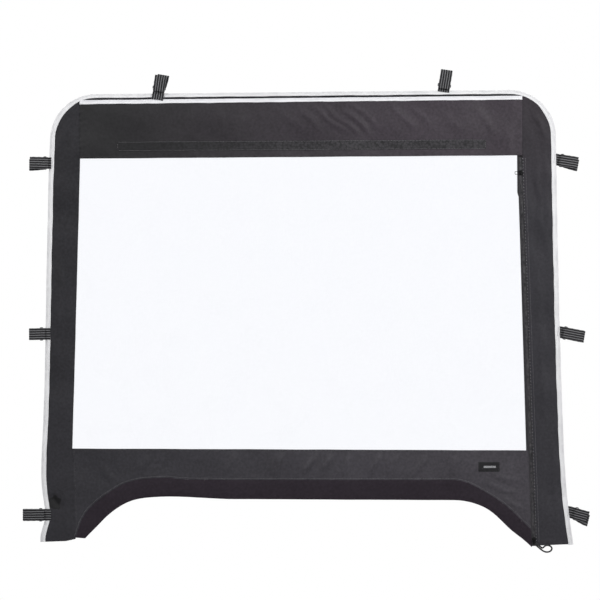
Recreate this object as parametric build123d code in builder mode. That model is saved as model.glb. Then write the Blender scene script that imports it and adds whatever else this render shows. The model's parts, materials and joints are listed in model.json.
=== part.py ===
"""Soft front windshield screen for a side-by-side utility vehicle, in millimetres.

The screen hangs upright: X across the vehicle, Y from the front face to the back, Z up. The origin is the middle of the
top edge. Black fabric panels frame a clear film window. A folded tape binds the left, top and right edges, a zip runs
down the right of the window, a padded hem arches over the bonnet, and eight webbing straps go round the roll cage.
"""

from build123d import *
from math import cos, pi, radians, sin, tan
import os

# Screen outline, as (x, z) points on the outer edge of the edge binding
LEFT_EDGE = [
    (-709, -1215),
    (-703.5, -1178),
    (-696.5, -1152),
    (-696.5, -1128),
    (-702.5, -1090),
    (-704, -950),
    (-697, -750),
    (-692.5, -500),
    (-688.5, -300),
    (-683, -130.5),
]
RIGHT_EDGE = [(682.5, -119.5), (691, -560), (699.8, -850), (709, -1040), (730, -1221.5)]
CORNER_RADIUS = 125
LEFT_FOOT = [(-640, -1212.5), (-613.5, -1206.5)]
RIGHT_FOOT_Z = (-1224.5, -1221.3)
FAR_OUT = 1500

# Layers, front to back: the fabric is centred on y = 0
FABRIC = 1.0
FILM = 0.8
BINDING_WALL = 0.6
BINDING_WIDTH = 13
FABRIC_BACK = FABRIC / 2
FILM_BACK = FABRIC_BACK + FILM
BINDING_BACK = FABRIC_BACK + BINDING_WALL

# Window: corners of the film that shows, and how far the film runs on behind the fabric
WINDOW_TOP_LEFT = (-601.5, -180)
WINDOW_TOP_RIGHT = (578, -171)
WINDOW_BOTTOM_RIGHT = (602.5, -967.5)
WINDOW_BOTTOM_LEFT = (-622.5, -962.5)
FACING_STEP = [(582.5, -284), (578.6, -272)]
FILM_LAP = 12

# Header: a front layer over a backing, open along its bound top edge as a pocket
HEADER_LEFT = -603
HEADER_RIGHT = 592
POCKET_EDGE_LEFT_Z = -22.2
POCKET_EDGE_RIGHT_Z = -10
HEADER_BACK = -BINDING_BACK - BINDING_WALL
HEADER_FRONT = HEADER_BACK - FABRIC

# Hook strip sewn on the header
HOOK_CENTRE = (-4, -144)
HOOK_LENGTH = 996
HOOK_WIDTH = 25
HOOK_THICK = 1.0
HOOK_TILT = 0.35

# Hem over the bonnet: its upper edge is the seam with the lower panel
SEAM_LEFT = [
    (-614, -1203),
    (-596, -1152),
    (-560, -1108),
    (-518, -1077),
    (-482, -1057),
    (-436, -1045.5),
    (-368, -1041.5),
    (-147, -1047.5),
]
SEAM_RIGHT = [(400, -1047.5), (483, -1074.5), (539, -1110), (615.7, -1181)]
HEM_LEFT = [
    (-588, -1205),
    (-561, -1177.5),
    (-534, -1149.5),
    (-507, -1127),
    (-467, -1105),
    (-413, -1094.5),
    (-332, -1092.5),
    (-170, -1099),
]
HEM_RIGHT = [(410, -1102), (452, -1107.5), (505, -1130.5), (559, -1180), (617.8, -1229)]

# Zip: a straight line, with two rows of coil beside it and a tape outside each row
ZIP_TOP = (586.6, -172)
ZIP_BOTTOM = (624, -1219)
TAPE_TOP_Z = -162
TAPE_BOTTOM_Z = -1226
COIL_INNER = 0.7
COIL_OUTER = 3.5
COIL_THICK = 2.4
TAPE_OUTER_LEFT = 8
TAPE_OUTER_RIGHT = 16
TAPE_THICK = 0.6
ZIP_CLEAR = 6.5
FOLD_WIDTH = 22
STOP_LENGTH = 3
ZIP_MID = FILM_BACK + TAPE_THICK / 2

# Sliders
SLIDER_WIDTH = 10
SLIDER_LENGTH = 14
SLIDER_PLATE = 1.0
SLIDER_GAP = 0.2
SLIDER_TAIL_HALF = 3.8
SLIDER_NOSE_HALF = 4.0
SLIDER_SHOULDER = 1.4
SLIDER_CORNER = 1.2
LOWER_SLIDER_Z = -1209.5
UPPER_SLIDER_Z = -218
PULL_AXIS_Y = -3.2
BRIDGE_RADIUS = 2.4
BRIDGE_WIDTH = 3.0
LOWER_PIN_RADIUS = 0.9
UPPER_PIN_RADIUS = 0.7
PIN_GAP = 0.05

# Lower pull: two arms on a pin, and a tongue that runs down into the cord's sleeve
LOWER_EYE_UP = 2
ARM_GAP = 0.15
ARM_THICK = 1.2
ARM_LENGTH = 7
ARM_RADIUS = 2.0
ARM_WIDTH = 2.4
TONGUE_THICK = 2.0
TONGUE_TOP = 5.5
SLEEVE_LENGTH = 7
SLEEVE_WIDTH = 9.6
SLEEVE_THICK = 5
SLEEVE_CORNER = 2.2

# Upper pull: a wire loop
WIRE_LOOP_LENGTH = 16
WIRE_LOOP_HEIGHT = 7.4
WIRE_LOOP_CORNER = 1.6

# Pull cord of the lower slider, as (x, z) points on its centre line, from one sleeve hole round to the other
CORD_DIAMETER = 4.4
CORD_ROUTE = [
    (630.3, -1224.4),
    (639.4, -1232.2),
    (648.5, -1239.5),
    (658.0, -1242.3),
    (668.5, -1239.8),
    (672.8, -1231.5),
    (667.5, -1225.0),
    (659.5, -1223.0),
    (652.5, -1225.2),
    (646.2, -1231.9),
    (640.1, -1226.7),
    (633.3, -1220.9),
]
RUN_SHARE = 0.45

# Straps: doubled webbing drawn through a rectangular ring, on an anchor sewn to the edge binding
STRAP_WIDTH = 30
STRAP_THICK = 1.2
STRAP_START = 1.5
HINGE_GAP = 2.0
ANCHOR_END = 1.2
LAYER_STEP = 1.5
RING_WIRE = 1.0
RING_HEIGHT = 3.3
RING_IN = 5.6
RING_OUT = 13.6
RING_TURN = 1.8
RING_WIDTH = 34
RING_CORNER = 2.5
TAB_ROOT = 4
TAB_ROOT_LENGTH = 1
FRONT = -BINDING_BACK - STRAP_THICK / 2
BACK = BINDING_BACK + STRAP_THICK / 2
OVER_POCKET = HEADER_FRONT - BINDING_WALL - STRAP_THICK / 2

# name: edge point (x, z), outward angle, lean, hinge y, anchor lap on the binding, loop length, tail length
STRAPS = {
    "left_top": ((-684.5, -192), 180, 0, FRONT, 5, 52, 42),
    "left_middle": ((-694, -653), 180, 0, FRONT, 12, 43, 36),
    "left_bottom": ((-696, -1141), 180, 0, FRONT, 16, 58, 49),
    "top_left": ((-389.5, -3.8), 90, -10, OVER_POCKET, 18, 46, 36),
    "top_right": ((380, 3.8), 90, -8, FRONT, 4, 52, 43),
    "right_top": ((683.6, -183), 0, -11, BACK, 12, 56, 48),
    "right_middle": ((693.4, -649), 0, -9.5, BACK, 12, 63, 51),
    "right_bottom": ((719.8, -1137), 6, -20, BACK, 12, 47, 39),
}

LABEL_SIZE = (57, 26)
LABEL_CENTRE = (502, -1012)
LABEL_THICK = 0.5
LABEL_CORNER = 1


def layer(back_y):
    """Plane facing the front, at the back face of a layer."""
    return Plane.XZ.offset(-back_y)


def zip_x(z, shift=0.0):
    """X of the zip's centre line at a height, plus a shift to the right."""
    slope = (ZIP_TOP[0] - ZIP_BOTTOM[0]) / (ZIP_TOP[1] - ZIP_BOTTOM[1])
    return ZIP_BOTTOM[0] + slope * (z - ZIP_BOTTOM[1]) + shift


def zip_plane(z, y=0.0):
    """Plane across the zip at a height: x to the right, y to the back, z up along the zip."""
    up = Vector(ZIP_TOP[0] - ZIP_BOTTOM[0], 0, ZIP_TOP[1] - ZIP_BOTTOM[1]).normalized()
    return Plane(origin=(zip_x(z), y, z), x_dir=(up.Z, 0, -up.X), z_dir=up)


def pocket_edge_z(x, inset=0.0):
    """Height of the pocket's bound edge."""
    slope = (POCKET_EDGE_RIGHT_Z - POCKET_EDGE_LEFT_Z) / (HEADER_RIGHT - HEADER_LEFT)
    return POCKET_EDGE_LEFT_Z + slope * (x - HEADER_LEFT) - inset


def screen_edge(inset):
    """Left side, top and right side of the screen, moved in from the outer edge by an inset."""
    left = [(x + inset, z) for x, z in LEFT_EDGE]
    right = [(x - inset, z) for x, z in RIGHT_EDGE]
    radius = CORNER_RADIUS - inset
    Spline(*left)
    CenterArc((LEFT_EDGE[-1][0] + CORNER_RADIUS, LEFT_EDGE[-1][1]), radius, 90, 90)
    Line((left[-1][0] + radius, left[-1][1] + radius), (right[0][0] - radius, right[0][1] + radius))
    CenterArc((RIGHT_EDGE[0][0] - CORNER_RADIUS, RIGHT_EDGE[0][1]), radius, 0, 90)
    Spline(*right)
    return left[0], right[-1]


def whole_screen(inset):
    """Lines round the whole screen, running on below the feet."""
    left, right = screen_edge(inset)
    Polyline(left, (left[0], -FAR_OUT), (right[0], -FAR_OUT), right)


def zip_band(inner, outer, top_z, bottom_z):
    """Face of a strip along the zip, between two shifts from its centre line."""
    Polygon(
        (zip_x(top_z, inner), top_z),
        (zip_x(top_z, outer), top_z),
        (zip_x(bottom_z, outer), bottom_z),
        (zip_x(bottom_z, inner), bottom_z),
    )


def seam():
    """Curve between the lower panel and the hem, left to right."""
    Spline(*SEAM_LEFT, tangents=[(0.35, 1), (1, 0)])
    Line(SEAM_LEFT[-1], SEAM_RIGHT[0])
    Spline(*SEAM_RIGHT, tangents=[(1, 0), (0.75, -0.7)])


def save(built, name):
    """Label a finished piece and write it."""
    built.part.label = name
    export_step(built.part, f"parts/{name}.step")


def make_side_panels():
    with BuildPart() as left_side_panel:
        with BuildSketch(layer(FABRIC_BACK)):
            with BuildLine():
                whole_screen(BINDING_WALL)
            make_face()
            Polygon(
                (-FAR_OUT, FAR_OUT),
                (HEADER_LEFT, FAR_OUT),
                WINDOW_TOP_LEFT,
                WINDOW_BOTTOM_LEFT,
                SEAM_LEFT[0],
                LEFT_FOOT[1],
                LEFT_FOOT[0],
                LEFT_EDGE[0],
                (-FAR_OUT, LEFT_EDGE[0][1]),
                mode=Mode.INTERSECT,
            )
        extrude(amount=FABRIC)
    save(left_side_panel, "left_side_panel")

    with BuildPart() as right_side_panel:
        with BuildSketch(layer(FABRIC_BACK)):
            with BuildLine():
                whole_screen(BINDING_WALL)
            make_face()
            Polygon(
                (HEADER_RIGHT, FAR_OUT),
                (HEADER_RIGHT, WINDOW_TOP_RIGHT[1]),
                (zip_x(WINDOW_TOP_RIGHT[1], ZIP_CLEAR), WINDOW_TOP_RIGHT[1]),
                (zip_x(RIGHT_FOOT_Z[0], ZIP_CLEAR), RIGHT_FOOT_Z[0]),
                (RIGHT_EDGE[-1][0] - BINDING_WIDTH, RIGHT_FOOT_Z[1]),
                (FAR_OUT, RIGHT_FOOT_Z[1]),
                (FAR_OUT, FAR_OUT),
                mode=Mode.INTERSECT,
            )
        extrude(amount=FABRIC)
        with BuildSketch(layer(FILM_BACK)):
            zip_band(ZIP_CLEAR, ZIP_CLEAR + FOLD_WIDTH, ZIP_TOP[1], ZIP_BOTTOM[1])
        extrude(amount=FILM)
    save(right_side_panel, "right_side_panel")


def make_header():
    with BuildPart() as header_backing:
        with BuildSketch(layer(FABRIC_BACK)):
            with BuildLine():
                whole_screen(BINDING_WALL)
            make_face()
            Polygon(
                (HEADER_LEFT, FAR_OUT),
                (HEADER_RIGHT, FAR_OUT),
                (HEADER_RIGHT, WINDOW_TOP_RIGHT[1]),
                WINDOW_TOP_RIGHT,
                WINDOW_TOP_LEFT,
                mode=Mode.INTERSECT,
            )
        extrude(amount=FABRIC)
    save(header_backing, "header_backing")

    with BuildPart() as header_panel:
        with BuildSketch(layer(HEADER_BACK)):
            Polygon(
                (HEADER_LEFT, pocket_edge_z(HEADER_LEFT, BINDING_WALL)),
                (HEADER_RIGHT, pocket_edge_z(HEADER_RIGHT, BINDING_WALL)),
                (HEADER_RIGHT, WINDOW_TOP_RIGHT[1]),
                WINDOW_TOP_RIGHT,
                WINDOW_TOP_LEFT,
            )
        extrude(amount=FABRIC)
    save(header_panel, "header_panel")

    with BuildPart() as header_binding:
        for back_y, thick, inset, mode in (
            (-BINDING_BACK, FABRIC + 2 * BINDING_WALL, 0, Mode.ADD),
            (HEADER_BACK, FABRIC, BINDING_WALL, Mode.SUBTRACT),
        ):
            with BuildSketch(layer(back_y)):
                Polygon(
                    (HEADER_LEFT, pocket_edge_z(HEADER_LEFT, inset)),
                    (HEADER_RIGHT, pocket_edge_z(HEADER_RIGHT, inset)),
                    (HEADER_RIGHT, pocket_edge_z(HEADER_RIGHT, BINDING_WIDTH)),
                    (HEADER_LEFT, pocket_edge_z(HEADER_LEFT, BINDING_WIDTH)),
                )
            extrude(amount=thick, mode=mode)
    save(header_binding, "header_binding")

    with BuildPart() as hook_strip:
        with BuildSketch(layer(HEADER_FRONT)):
            with Locations(Location(HOOK_CENTRE, HOOK_TILT)):
                Rectangle(HOOK_LENGTH, HOOK_WIDTH)
        extrude(amount=HOOK_THICK)
    save(hook_strip, "hook_strip")


def make_lower_panel_and_hem():
    with BuildPart() as lower_panel:
        with BuildSketch(layer(FABRIC_BACK)):
            with BuildLine():
                seam()
                Polyline(
                    SEAM_RIGHT[-1],
                    (zip_x(WINDOW_BOTTOM_RIGHT[1], -ZIP_CLEAR), WINDOW_BOTTOM_RIGHT[1]),
                    WINDOW_BOTTOM_RIGHT,
                    WINDOW_BOTTOM_LEFT,
                    SEAM_LEFT[0],
                )
            make_face()
        extrude(amount=FABRIC)
    save(lower_panel, "lower_panel")

    with BuildPart() as bonnet_hem:
        with BuildSketch(layer(FABRIC_BACK)):
            with BuildLine():
                seam()
                Line(SEAM_RIGHT[-1], HEM_RIGHT[-1])
                Spline(*HEM_RIGHT, tangents=[(1, 0), (0.7, -0.7)])
                Line(HEM_LEFT[-1], HEM_RIGHT[0])
                Spline(*HEM_LEFT, tangents=[(0.6, 0.7), (1, 0)])
                Line(SEAM_LEFT[0], HEM_LEFT[0])
            make_face()
        extrude(amount=FABRIC)
    save(bonnet_hem, "bonnet_hem")


def make_window():
    film_right_top = zip_x(WINDOW_TOP_RIGHT[1] + FILM_LAP, -ZIP_CLEAR)
    film_right_bottom = zip_x(WINDOW_BOTTOM_RIGHT[1] - FILM_LAP, -ZIP_CLEAR)
    with BuildPart() as window_film:
        with BuildSketch(layer(FILM_BACK)):
            Polygon(
                (WINDOW_TOP_LEFT[0] - FILM_LAP, WINDOW_TOP_LEFT[1] + FILM_LAP),
                (film_right_top, WINDOW_TOP_RIGHT[1] + FILM_LAP),
                (film_right_bottom, WINDOW_BOTTOM_RIGHT[1] - FILM_LAP),
                (WINDOW_BOTTOM_LEFT[0] - FILM_LAP, WINDOW_BOTTOM_LEFT[1] - FILM_LAP),
            )
        extrude(amount=FILM)
    save(window_film, "window_film")

    with BuildPart() as zip_facing:
        with BuildSketch(layer(FABRIC_BACK)):
            Polygon(
                WINDOW_TOP_RIGHT,
                (zip_x(WINDOW_TOP_RIGHT[1], -ZIP_CLEAR), WINDOW_TOP_RIGHT[1]),
                (zip_x(WINDOW_BOTTOM_RIGHT[1], -ZIP_CLEAR), WINDOW_BOTTOM_RIGHT[1]),
                WINDOW_BOTTOM_RIGHT,
                *FACING_STEP,
            )
        extrude(amount=FABRIC)
    save(zip_facing, "zip_facing")


def make_edge_binding():
    with BuildPart() as edge_binding:
        for back_y, thick, inset, mode in (
            (BINDING_BACK, 2 * BINDING_BACK, 0, Mode.ADD),
            (FABRIC_BACK, FABRIC, BINDING_WALL, Mode.SUBTRACT),
        ):
            with BuildSketch(layer(back_y)):
                with BuildLine():
                    left_outer, right_outer = screen_edge(inset)
                    left_inner, right_inner = screen_edge(BINDING_WIDTH)
                    Line(left_outer, left_inner)
                    Line(right_outer, right_inner)
                make_face()
            extrude(amount=thick, mode=mode)
    save(edge_binding, "edge_binding")


def make_label():
    with BuildPart() as woven_label:
        with BuildSketch(layer(-FABRIC_BACK)):
            with Locations(LABEL_CENTRE):
                RectangleRounded(*LABEL_SIZE, LABEL_CORNER)
        extrude(amount=LABEL_THICK)
    save(woven_label, "woven_label")


def make_zip():
    for side, name, tape_outer in ((-1, "left", TAPE_OUTER_LEFT), (1, "right", TAPE_OUTER_RIGHT)):
        with BuildPart() as tape:
            with BuildSketch(layer(ZIP_MID + TAPE_THICK / 2)):
                zip_band(side * COIL_OUTER, side * tape_outer, TAPE_TOP_Z, TAPE_BOTTOM_Z)
            extrude(amount=TAPE_THICK)
        save(tape, f"zipper_tape_{name}")

        with BuildPart() as coil:
            with BuildSketch(layer(ZIP_MID + COIL_THICK / 2)):
                zip_band(
                    side * COIL_INNER,
                    side * COIL_OUTER,
                    ZIP_TOP[1] - STOP_LENGTH,
                    ZIP_BOTTOM[1] + STOP_LENGTH,
                )
            extrude(amount=COIL_THICK)
        save(coil, f"zipper_coil_{name}")

    for name, top_z in (("top", ZIP_TOP[1]), ("bottom", ZIP_BOTTOM[1] + STOP_LENGTH)):
        with BuildPart() as stops:
            with BuildSketch(layer(ZIP_MID + COIL_THICK / 2)):
                for side in (-1, 1):
                    zip_band(side * COIL_INNER, side * COIL_OUTER, top_z, top_z - STOP_LENGTH)
            extrude(amount=COIL_THICK)
        save(stops, f"zipper_{name}_stops")


def make_slider(name, z, pin_plane, pin_radius):
    """Two plates that hold the coils, joined by a web between the rows, and an arch with an eye for the pull."""
    plane = zip_plane(z)
    front = ZIP_MID - COIL_THICK / 2 - SLIDER_GAP
    back = ZIP_MID + COIL_THICK / 2 + SLIDER_GAP
    slot = TAPE_THICK / 2 + SLIDER_GAP
    lip = SLIDER_WIDTH / 2 - COIL_OUTER - SLIDER_GAP
    plate_y = front - SLIDER_PLATE
    outline = Plane(origin=plane.origin, x_dir=plane.x_dir, z_dir=(0, -1, 0))
    with BuildPart() as slider:
        with BuildSketch(plane.offset(-SLIDER_LENGTH / 2)):
            for y in (front - SLIDER_PLATE / 2, back + SLIDER_PLATE / 2):
                with Locations((0, y)):
                    Rectangle(SLIDER_WIDTH, SLIDER_PLATE)
            for side in (-1, 1):
                x = side * (SLIDER_WIDTH - lip) / 2
                for low, high in ((front, ZIP_MID - slot), (ZIP_MID + slot, back)):
                    with Locations((x, (low + high) / 2)):
                        Rectangle(lip, high - low)
        extrude(amount=SLIDER_LENGTH)
        with BuildSketch(plane):
            with Locations((0, (front + back) / 2)):
                Rectangle(2 * (COIL_INNER - SLIDER_GAP), back - front)
        extrude(amount=SLIDER_LENGTH / 2)
        with BuildSketch(outline):
            Polygon(
                (-SLIDER_TAIL_HALF, -SLIDER_LENGTH / 2),
                (SLIDER_TAIL_HALF, -SLIDER_LENGTH / 2),
                (SLIDER_WIDTH / 2, SLIDER_SHOULDER),
                (SLIDER_NOSE_HALF, SLIDER_LENGTH / 2),
                (-SLIDER_NOSE_HALF, SLIDER_LENGTH / 2),
                (-SLIDER_WIDTH / 2, SLIDER_SHOULDER),
            )
            fillet(vertices(), SLIDER_CORNER)
        extrude(amount=FOLD_WIDTH, both=True, mode=Mode.INTERSECT)
        with BuildSketch(pin_plane.offset(-BRIDGE_WIDTH / 2)):
            Circle(BRIDGE_RADIUS)
            with Locations(((PULL_AXIS_Y - plate_y) / 2, 0)):
                Rectangle(plate_y - PULL_AXIS_Y, 2 * BRIDGE_RADIUS)
            Circle(pin_radius + PIN_GAP, mode=Mode.SUBTRACT)
        extrude(amount=BRIDGE_WIDTH)
    save(slider, name)


def make_lower_slider():
    """Slider whose pull turns about a pin across the zip, with a sleeve that grips the pull cord's two ends."""
    pull_z = LOWER_SLIDER_Z + LOWER_EYE_UP
    along = zip_plane(pull_z, PULL_AXIS_Y)
    across = Plane(origin=along.origin, x_dir=-along.y_dir, z_dir=along.x_dir)
    make_slider("lower_slider", LOWER_SLIDER_Z, across, LOWER_PIN_RADIUS)

    half_span = BRIDGE_WIDTH / 2 + ARM_GAP + ARM_THICK
    exit_left = Vector(CORD_ROUTE[0][0], PULL_AXIS_Y, CORD_ROUTE[0][1])
    exit_right = Vector(CORD_ROUTE[-1][0], PULL_AXIS_Y, CORD_ROUTE[-1][1])
    side = (exit_right - exit_left).normalized()
    down = Vector(0, 1, 0).cross(side)
    exit_plane = Plane(origin=(exit_left + exit_right) / 2, x_dir=side, z_dir=down)
    sleeve_top = exit_plane.offset(-SLEEVE_LENGTH)

    with BuildPart() as lower_pull:
        for sign in (-1, 1):
            with BuildSketch(across.offset(sign * (half_span - ARM_THICK / 2) - ARM_THICK / 2)):
                Circle(ARM_RADIUS)
                with Locations((0, ARM_LENGTH / 2)):
                    Rectangle(ARM_WIDTH, ARM_LENGTH)
            extrude(amount=ARM_THICK)
        with BuildSketch(across.offset(-half_span)):
            Circle(LOWER_PIN_RADIUS)
        extrude(amount=2 * half_span)
        top_point = sleeve_top.origin
        with BuildSketch(layer(PULL_AXIS_Y + TONGUE_THICK / 2)):
            with BuildLine():
                Polyline(
                    (along.origin.X - half_span, pull_z - TONGUE_TOP),
                    (along.origin.X + half_span, pull_z - TONGUE_TOP),
                    (top_point.X + side.X * half_span, top_point.Z + side.Z * half_span),
                    (top_point.X - side.X * half_span, top_point.Z - side.Z * half_span),
                    close=True,
                )
            make_face()
        extrude(amount=TONGUE_THICK)
    save(lower_pull, "lower_pull")

    with BuildPart() as pull_sleeve:
        with BuildSketch(sleeve_top):
            RectangleRounded(SLEEVE_WIDTH, SLEEVE_THICK, SLEEVE_CORNER)
        extrude(amount=SLEEVE_LENGTH)
    save(pull_sleeve, "pull_sleeve")


def make_pull_cord():
    points = [Vector(x, PULL_AXIS_Y, z) for x, z in CORD_ROUTE]
    radii = []
    for before, corner, after in zip(points, points[1:], points[2:]):
        run = min((corner - before).length, (after - corner).length)
        turn = (corner - before).get_angle(after - corner)
        radii.append(RUN_SHARE * run / tan(radians(turn / 2)))
    print("pull cord radii, mm:", [round(r, 1) for r in radii])
    with BuildPart() as pull_cord:
        with BuildLine() as route:
            FilletPolyline(*points, radius=radii)
        length = route.wire().length
        with BuildSketch(Plane(origin=points[0], z_dir=points[1] - points[0])):
            Circle(CORD_DIAMETER / 2)
        sweep()
    expected = pi * (CORD_DIAMETER / 2) ** 2 * length
    print(f"pull cord length {length:.1f} mm, volume {pull_cord.part.volume:.0f} of {expected:.0f} mm3")
    save(pull_cord, "pull_cord")


def make_upper_slider():
    """Slider whose wire pull turns about a line along the zip and lies to the left over the window."""
    along = zip_plane(UPPER_SLIDER_Z, PULL_AXIS_Y)
    eye = Plane(origin=along.origin, x_dir=-along.y_dir, z_dir=along.z_dir)
    make_slider("upper_slider", UPPER_SLIDER_Z, eye, UPPER_PIN_RADIUS)

    flat = Plane(origin=along.origin, x_dir=-along.x_dir, z_dir=(0, 1, 0))
    with BuildPart() as upper_pull:
        with BuildLine(flat):
            Polyline(
                (0, -WIRE_LOOP_HEIGHT / 2),
                (WIRE_LOOP_LENGTH, -WIRE_LOOP_HEIGHT / 2),
                (WIRE_LOOP_LENGTH, WIRE_LOOP_HEIGHT / 2),
                (0, WIRE_LOOP_HEIGHT / 2),
                close=True,
            )
            fillet(vertices(), WIRE_LOOP_CORNER)
        with BuildSketch(along):
            Circle(UPPER_PIN_RADIUS)
        sweep()
    save(upper_pull, "upper_pull")


def strap_plane(point, outward, lean, hinge_y):
    """Plane of a strap's side view at its hinge line: x out along the strap, y to the front."""
    reach = HINGE_GAP + STRAP_WIDTH / 2 * tan(radians(abs(lean)))
    base = Vector(point[0], hinge_y, point[1])
    out = Vector(cos(radians(outward)), 0, sin(radians(outward)))
    along = Vector(cos(radians(outward + lean)), 0, sin(radians(outward + lean)))
    return Plane(origin=base + out * reach, x_dir=along, z_dir=along.cross(Vector(0, -1, 0))), reach


def make_strap(name, point, outward, lean, hinge_y, lap, loop, tail):
    plane, reach = strap_plane(point, outward, lean, hinge_y)
    hinge = [round(v / 1000, 5) for v in plane.origin]
    print(f"strap {name}: hinge at {hinge}, axis {[round(v, 5) for v in plane.z_dir]}")

    with BuildPart() as anchor:
        with BuildSketch(plane.offset(-STRAP_WIDTH / 2)):
            with Locations(((-reach - lap - ANCHOR_END) / 2, 0)):
                Rectangle(reach + lap - ANCHOR_END, STRAP_THICK)
        extrude(amount=STRAP_WIDTH)
    save(anchor, f"strap_{name}_anchor")

    with BuildPart() as webbing:
        with BuildSketch(plane.offset(-STRAP_WIDTH / 2)):
            with BuildLine():
                Line((STRAP_START, 0), (loop, 0))
                ThreePointArc((loop, 0), (loop + LAYER_STEP / 2, LAYER_STEP / 2), (loop, LAYER_STEP))
                Line((loop, LAYER_STEP), (RING_OUT, LAYER_STEP))
                ThreePointArc(
                    (RING_OUT, LAYER_STEP),
                    (RING_OUT - RING_TURN, RING_HEIGHT),
                    (RING_OUT, RING_HEIGHT + RING_TURN),
                )
                Line((RING_OUT, RING_HEIGHT + RING_TURN), (tail, RING_HEIGHT + RING_TURN))
            trace(line_width=STRAP_THICK)
        extrude(amount=STRAP_WIDTH)
        with BuildSketch(plane.offset(-STRAP_WIDTH / 2)):
            with Locations((RING_IN, RING_HEIGHT)):
                Circle(RING_TURN + STRAP_THICK / 2)
            with Locations((TAB_ROOT, STRAP_THICK)):
                Rectangle(TAB_ROOT_LENGTH, STRAP_THICK)
            make_hull()
            with Locations((RING_IN, RING_HEIGHT)):
                Circle(RING_TURN - STRAP_THICK / 2, mode=Mode.SUBTRACT)
        extrude(amount=STRAP_WIDTH)
    save(webbing, f"strap_{name}_webbing")

    ring_plane = Plane(
        origin=plane.from_local_coords((0, RING_HEIGHT, 0)),
        x_dir=plane.x_dir,
        z_dir=(0, -1, 0),
    )
    half = RING_WIDTH / 2
    with BuildPart() as ring:
        with BuildLine(ring_plane):
            Polyline((RING_IN, -half), (RING_OUT, -half), (RING_OUT, half), (RING_IN, half), close=True)
            fillet(vertices(), RING_CORNER)
        with BuildSketch(Plane(origin=ring_plane.from_local_coords((RING_IN, 0, 0)), z_dir=ring_plane.y_dir)):
            Circle(RING_WIRE)
        sweep()
    save(ring, f"strap_{name}_ring")


os.makedirs("parts", exist_ok=True)
make_side_panels()
make_header()
make_lower_panel_and_hem()
make_window()
make_edge_binding()
make_label()
make_zip()
make_lower_slider()
make_pull_cord()
make_upper_slider()
for strap_name, strap_values in STRAPS.items():
    make_strap(strap_name, *strap_values)
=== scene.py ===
"""Looks of the soft windshield screen, in metres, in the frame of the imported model.

Fabric, film, tapes, zip coils, webbing and cord are built here over the CAD nodes that they replace, and
stitching is added. Rings, sliders, pulls, sleeve and zip stops are the CAD nodes with new materials.
"""

import json
from math import ceil, cos, hypot, pi, radians, sin
from random import Random

import bpy
import numpy as np
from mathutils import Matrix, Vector
from mathutils.geometry import delaunay_2d_cdt
from mathutils.kdtree import KDTree


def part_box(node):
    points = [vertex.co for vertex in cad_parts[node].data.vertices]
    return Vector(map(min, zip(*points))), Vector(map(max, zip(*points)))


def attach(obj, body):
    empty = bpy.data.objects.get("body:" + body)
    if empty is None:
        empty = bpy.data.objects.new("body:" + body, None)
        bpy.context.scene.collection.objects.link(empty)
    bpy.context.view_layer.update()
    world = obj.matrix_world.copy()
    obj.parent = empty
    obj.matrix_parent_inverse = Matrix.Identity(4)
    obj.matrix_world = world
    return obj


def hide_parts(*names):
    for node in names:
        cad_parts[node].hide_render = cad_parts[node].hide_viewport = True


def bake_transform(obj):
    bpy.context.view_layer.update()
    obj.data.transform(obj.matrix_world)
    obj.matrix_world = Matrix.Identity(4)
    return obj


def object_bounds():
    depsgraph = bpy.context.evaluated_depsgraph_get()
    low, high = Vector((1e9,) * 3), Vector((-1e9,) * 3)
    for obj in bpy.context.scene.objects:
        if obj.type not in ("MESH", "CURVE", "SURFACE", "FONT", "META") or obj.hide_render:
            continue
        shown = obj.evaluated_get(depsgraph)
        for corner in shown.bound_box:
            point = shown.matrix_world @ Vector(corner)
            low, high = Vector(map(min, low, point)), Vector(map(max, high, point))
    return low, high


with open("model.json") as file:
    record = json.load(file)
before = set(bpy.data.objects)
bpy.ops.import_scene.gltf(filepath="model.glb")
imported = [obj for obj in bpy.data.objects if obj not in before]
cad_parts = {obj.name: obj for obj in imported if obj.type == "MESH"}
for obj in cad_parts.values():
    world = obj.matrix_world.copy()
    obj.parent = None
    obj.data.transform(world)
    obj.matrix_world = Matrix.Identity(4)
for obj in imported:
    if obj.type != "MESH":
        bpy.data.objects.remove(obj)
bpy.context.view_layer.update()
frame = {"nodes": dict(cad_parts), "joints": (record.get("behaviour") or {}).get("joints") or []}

# Camera: square on to the front, from far enough that the view is nearly parallel
VIEW_CENTRE = (-0.0081, -0.5615)
VIEW_WIDTH = 1.62
VIEW_DISTANCE = 6.5
SENSOR = 36

# Pull cord of the lower slider: control points (x, z) of its centre line
CORD_DIAMETER = 0.0044
CORD_ROUTE = [
    (0.6303, -1.2244), (0.6394, -1.2322), (0.6485, -1.2395), (0.6580, -1.2423),
    (0.6685, -1.2398), (0.6728, -1.2315), (0.6675, -1.2250), (0.6595, -1.2230),
    (0.6525, -1.2252), (0.6462, -1.2319), (0.6401, -1.2267), (0.6333, -1.2209),
]

# Spacing of the meshes and of points along seams, and how sharp a turn of an outline counts as a corner
FABRIC_STEP = 0.0048
FILM_STEP = 0.010
TAPE_STEP = 0.004
SEAM_STEP = 0.004
CORNER_TURN = radians(22)
# A cloth's rounded rim: how far inside the outline it starts, and the share of thickness each face gives up
RIM_IN = 0.0012
RIM_TUCK = 0.15
# A strip whose outline fills less of its box than this is taken as curved
CURVED_FILL = 0.35

# Wrinkles, as heights towards the front
BROAD_HEIGHT = 0.0019
FINE_HEIGHT = 0.00012
PUCKER_HEIGHT = 0.00045
PUCKER_REACH = 0.011
FILM_RIPPLE = 0.0012
HEADER_BULGE = 0.0012
HEADER_SINK = 0.0006

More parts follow.
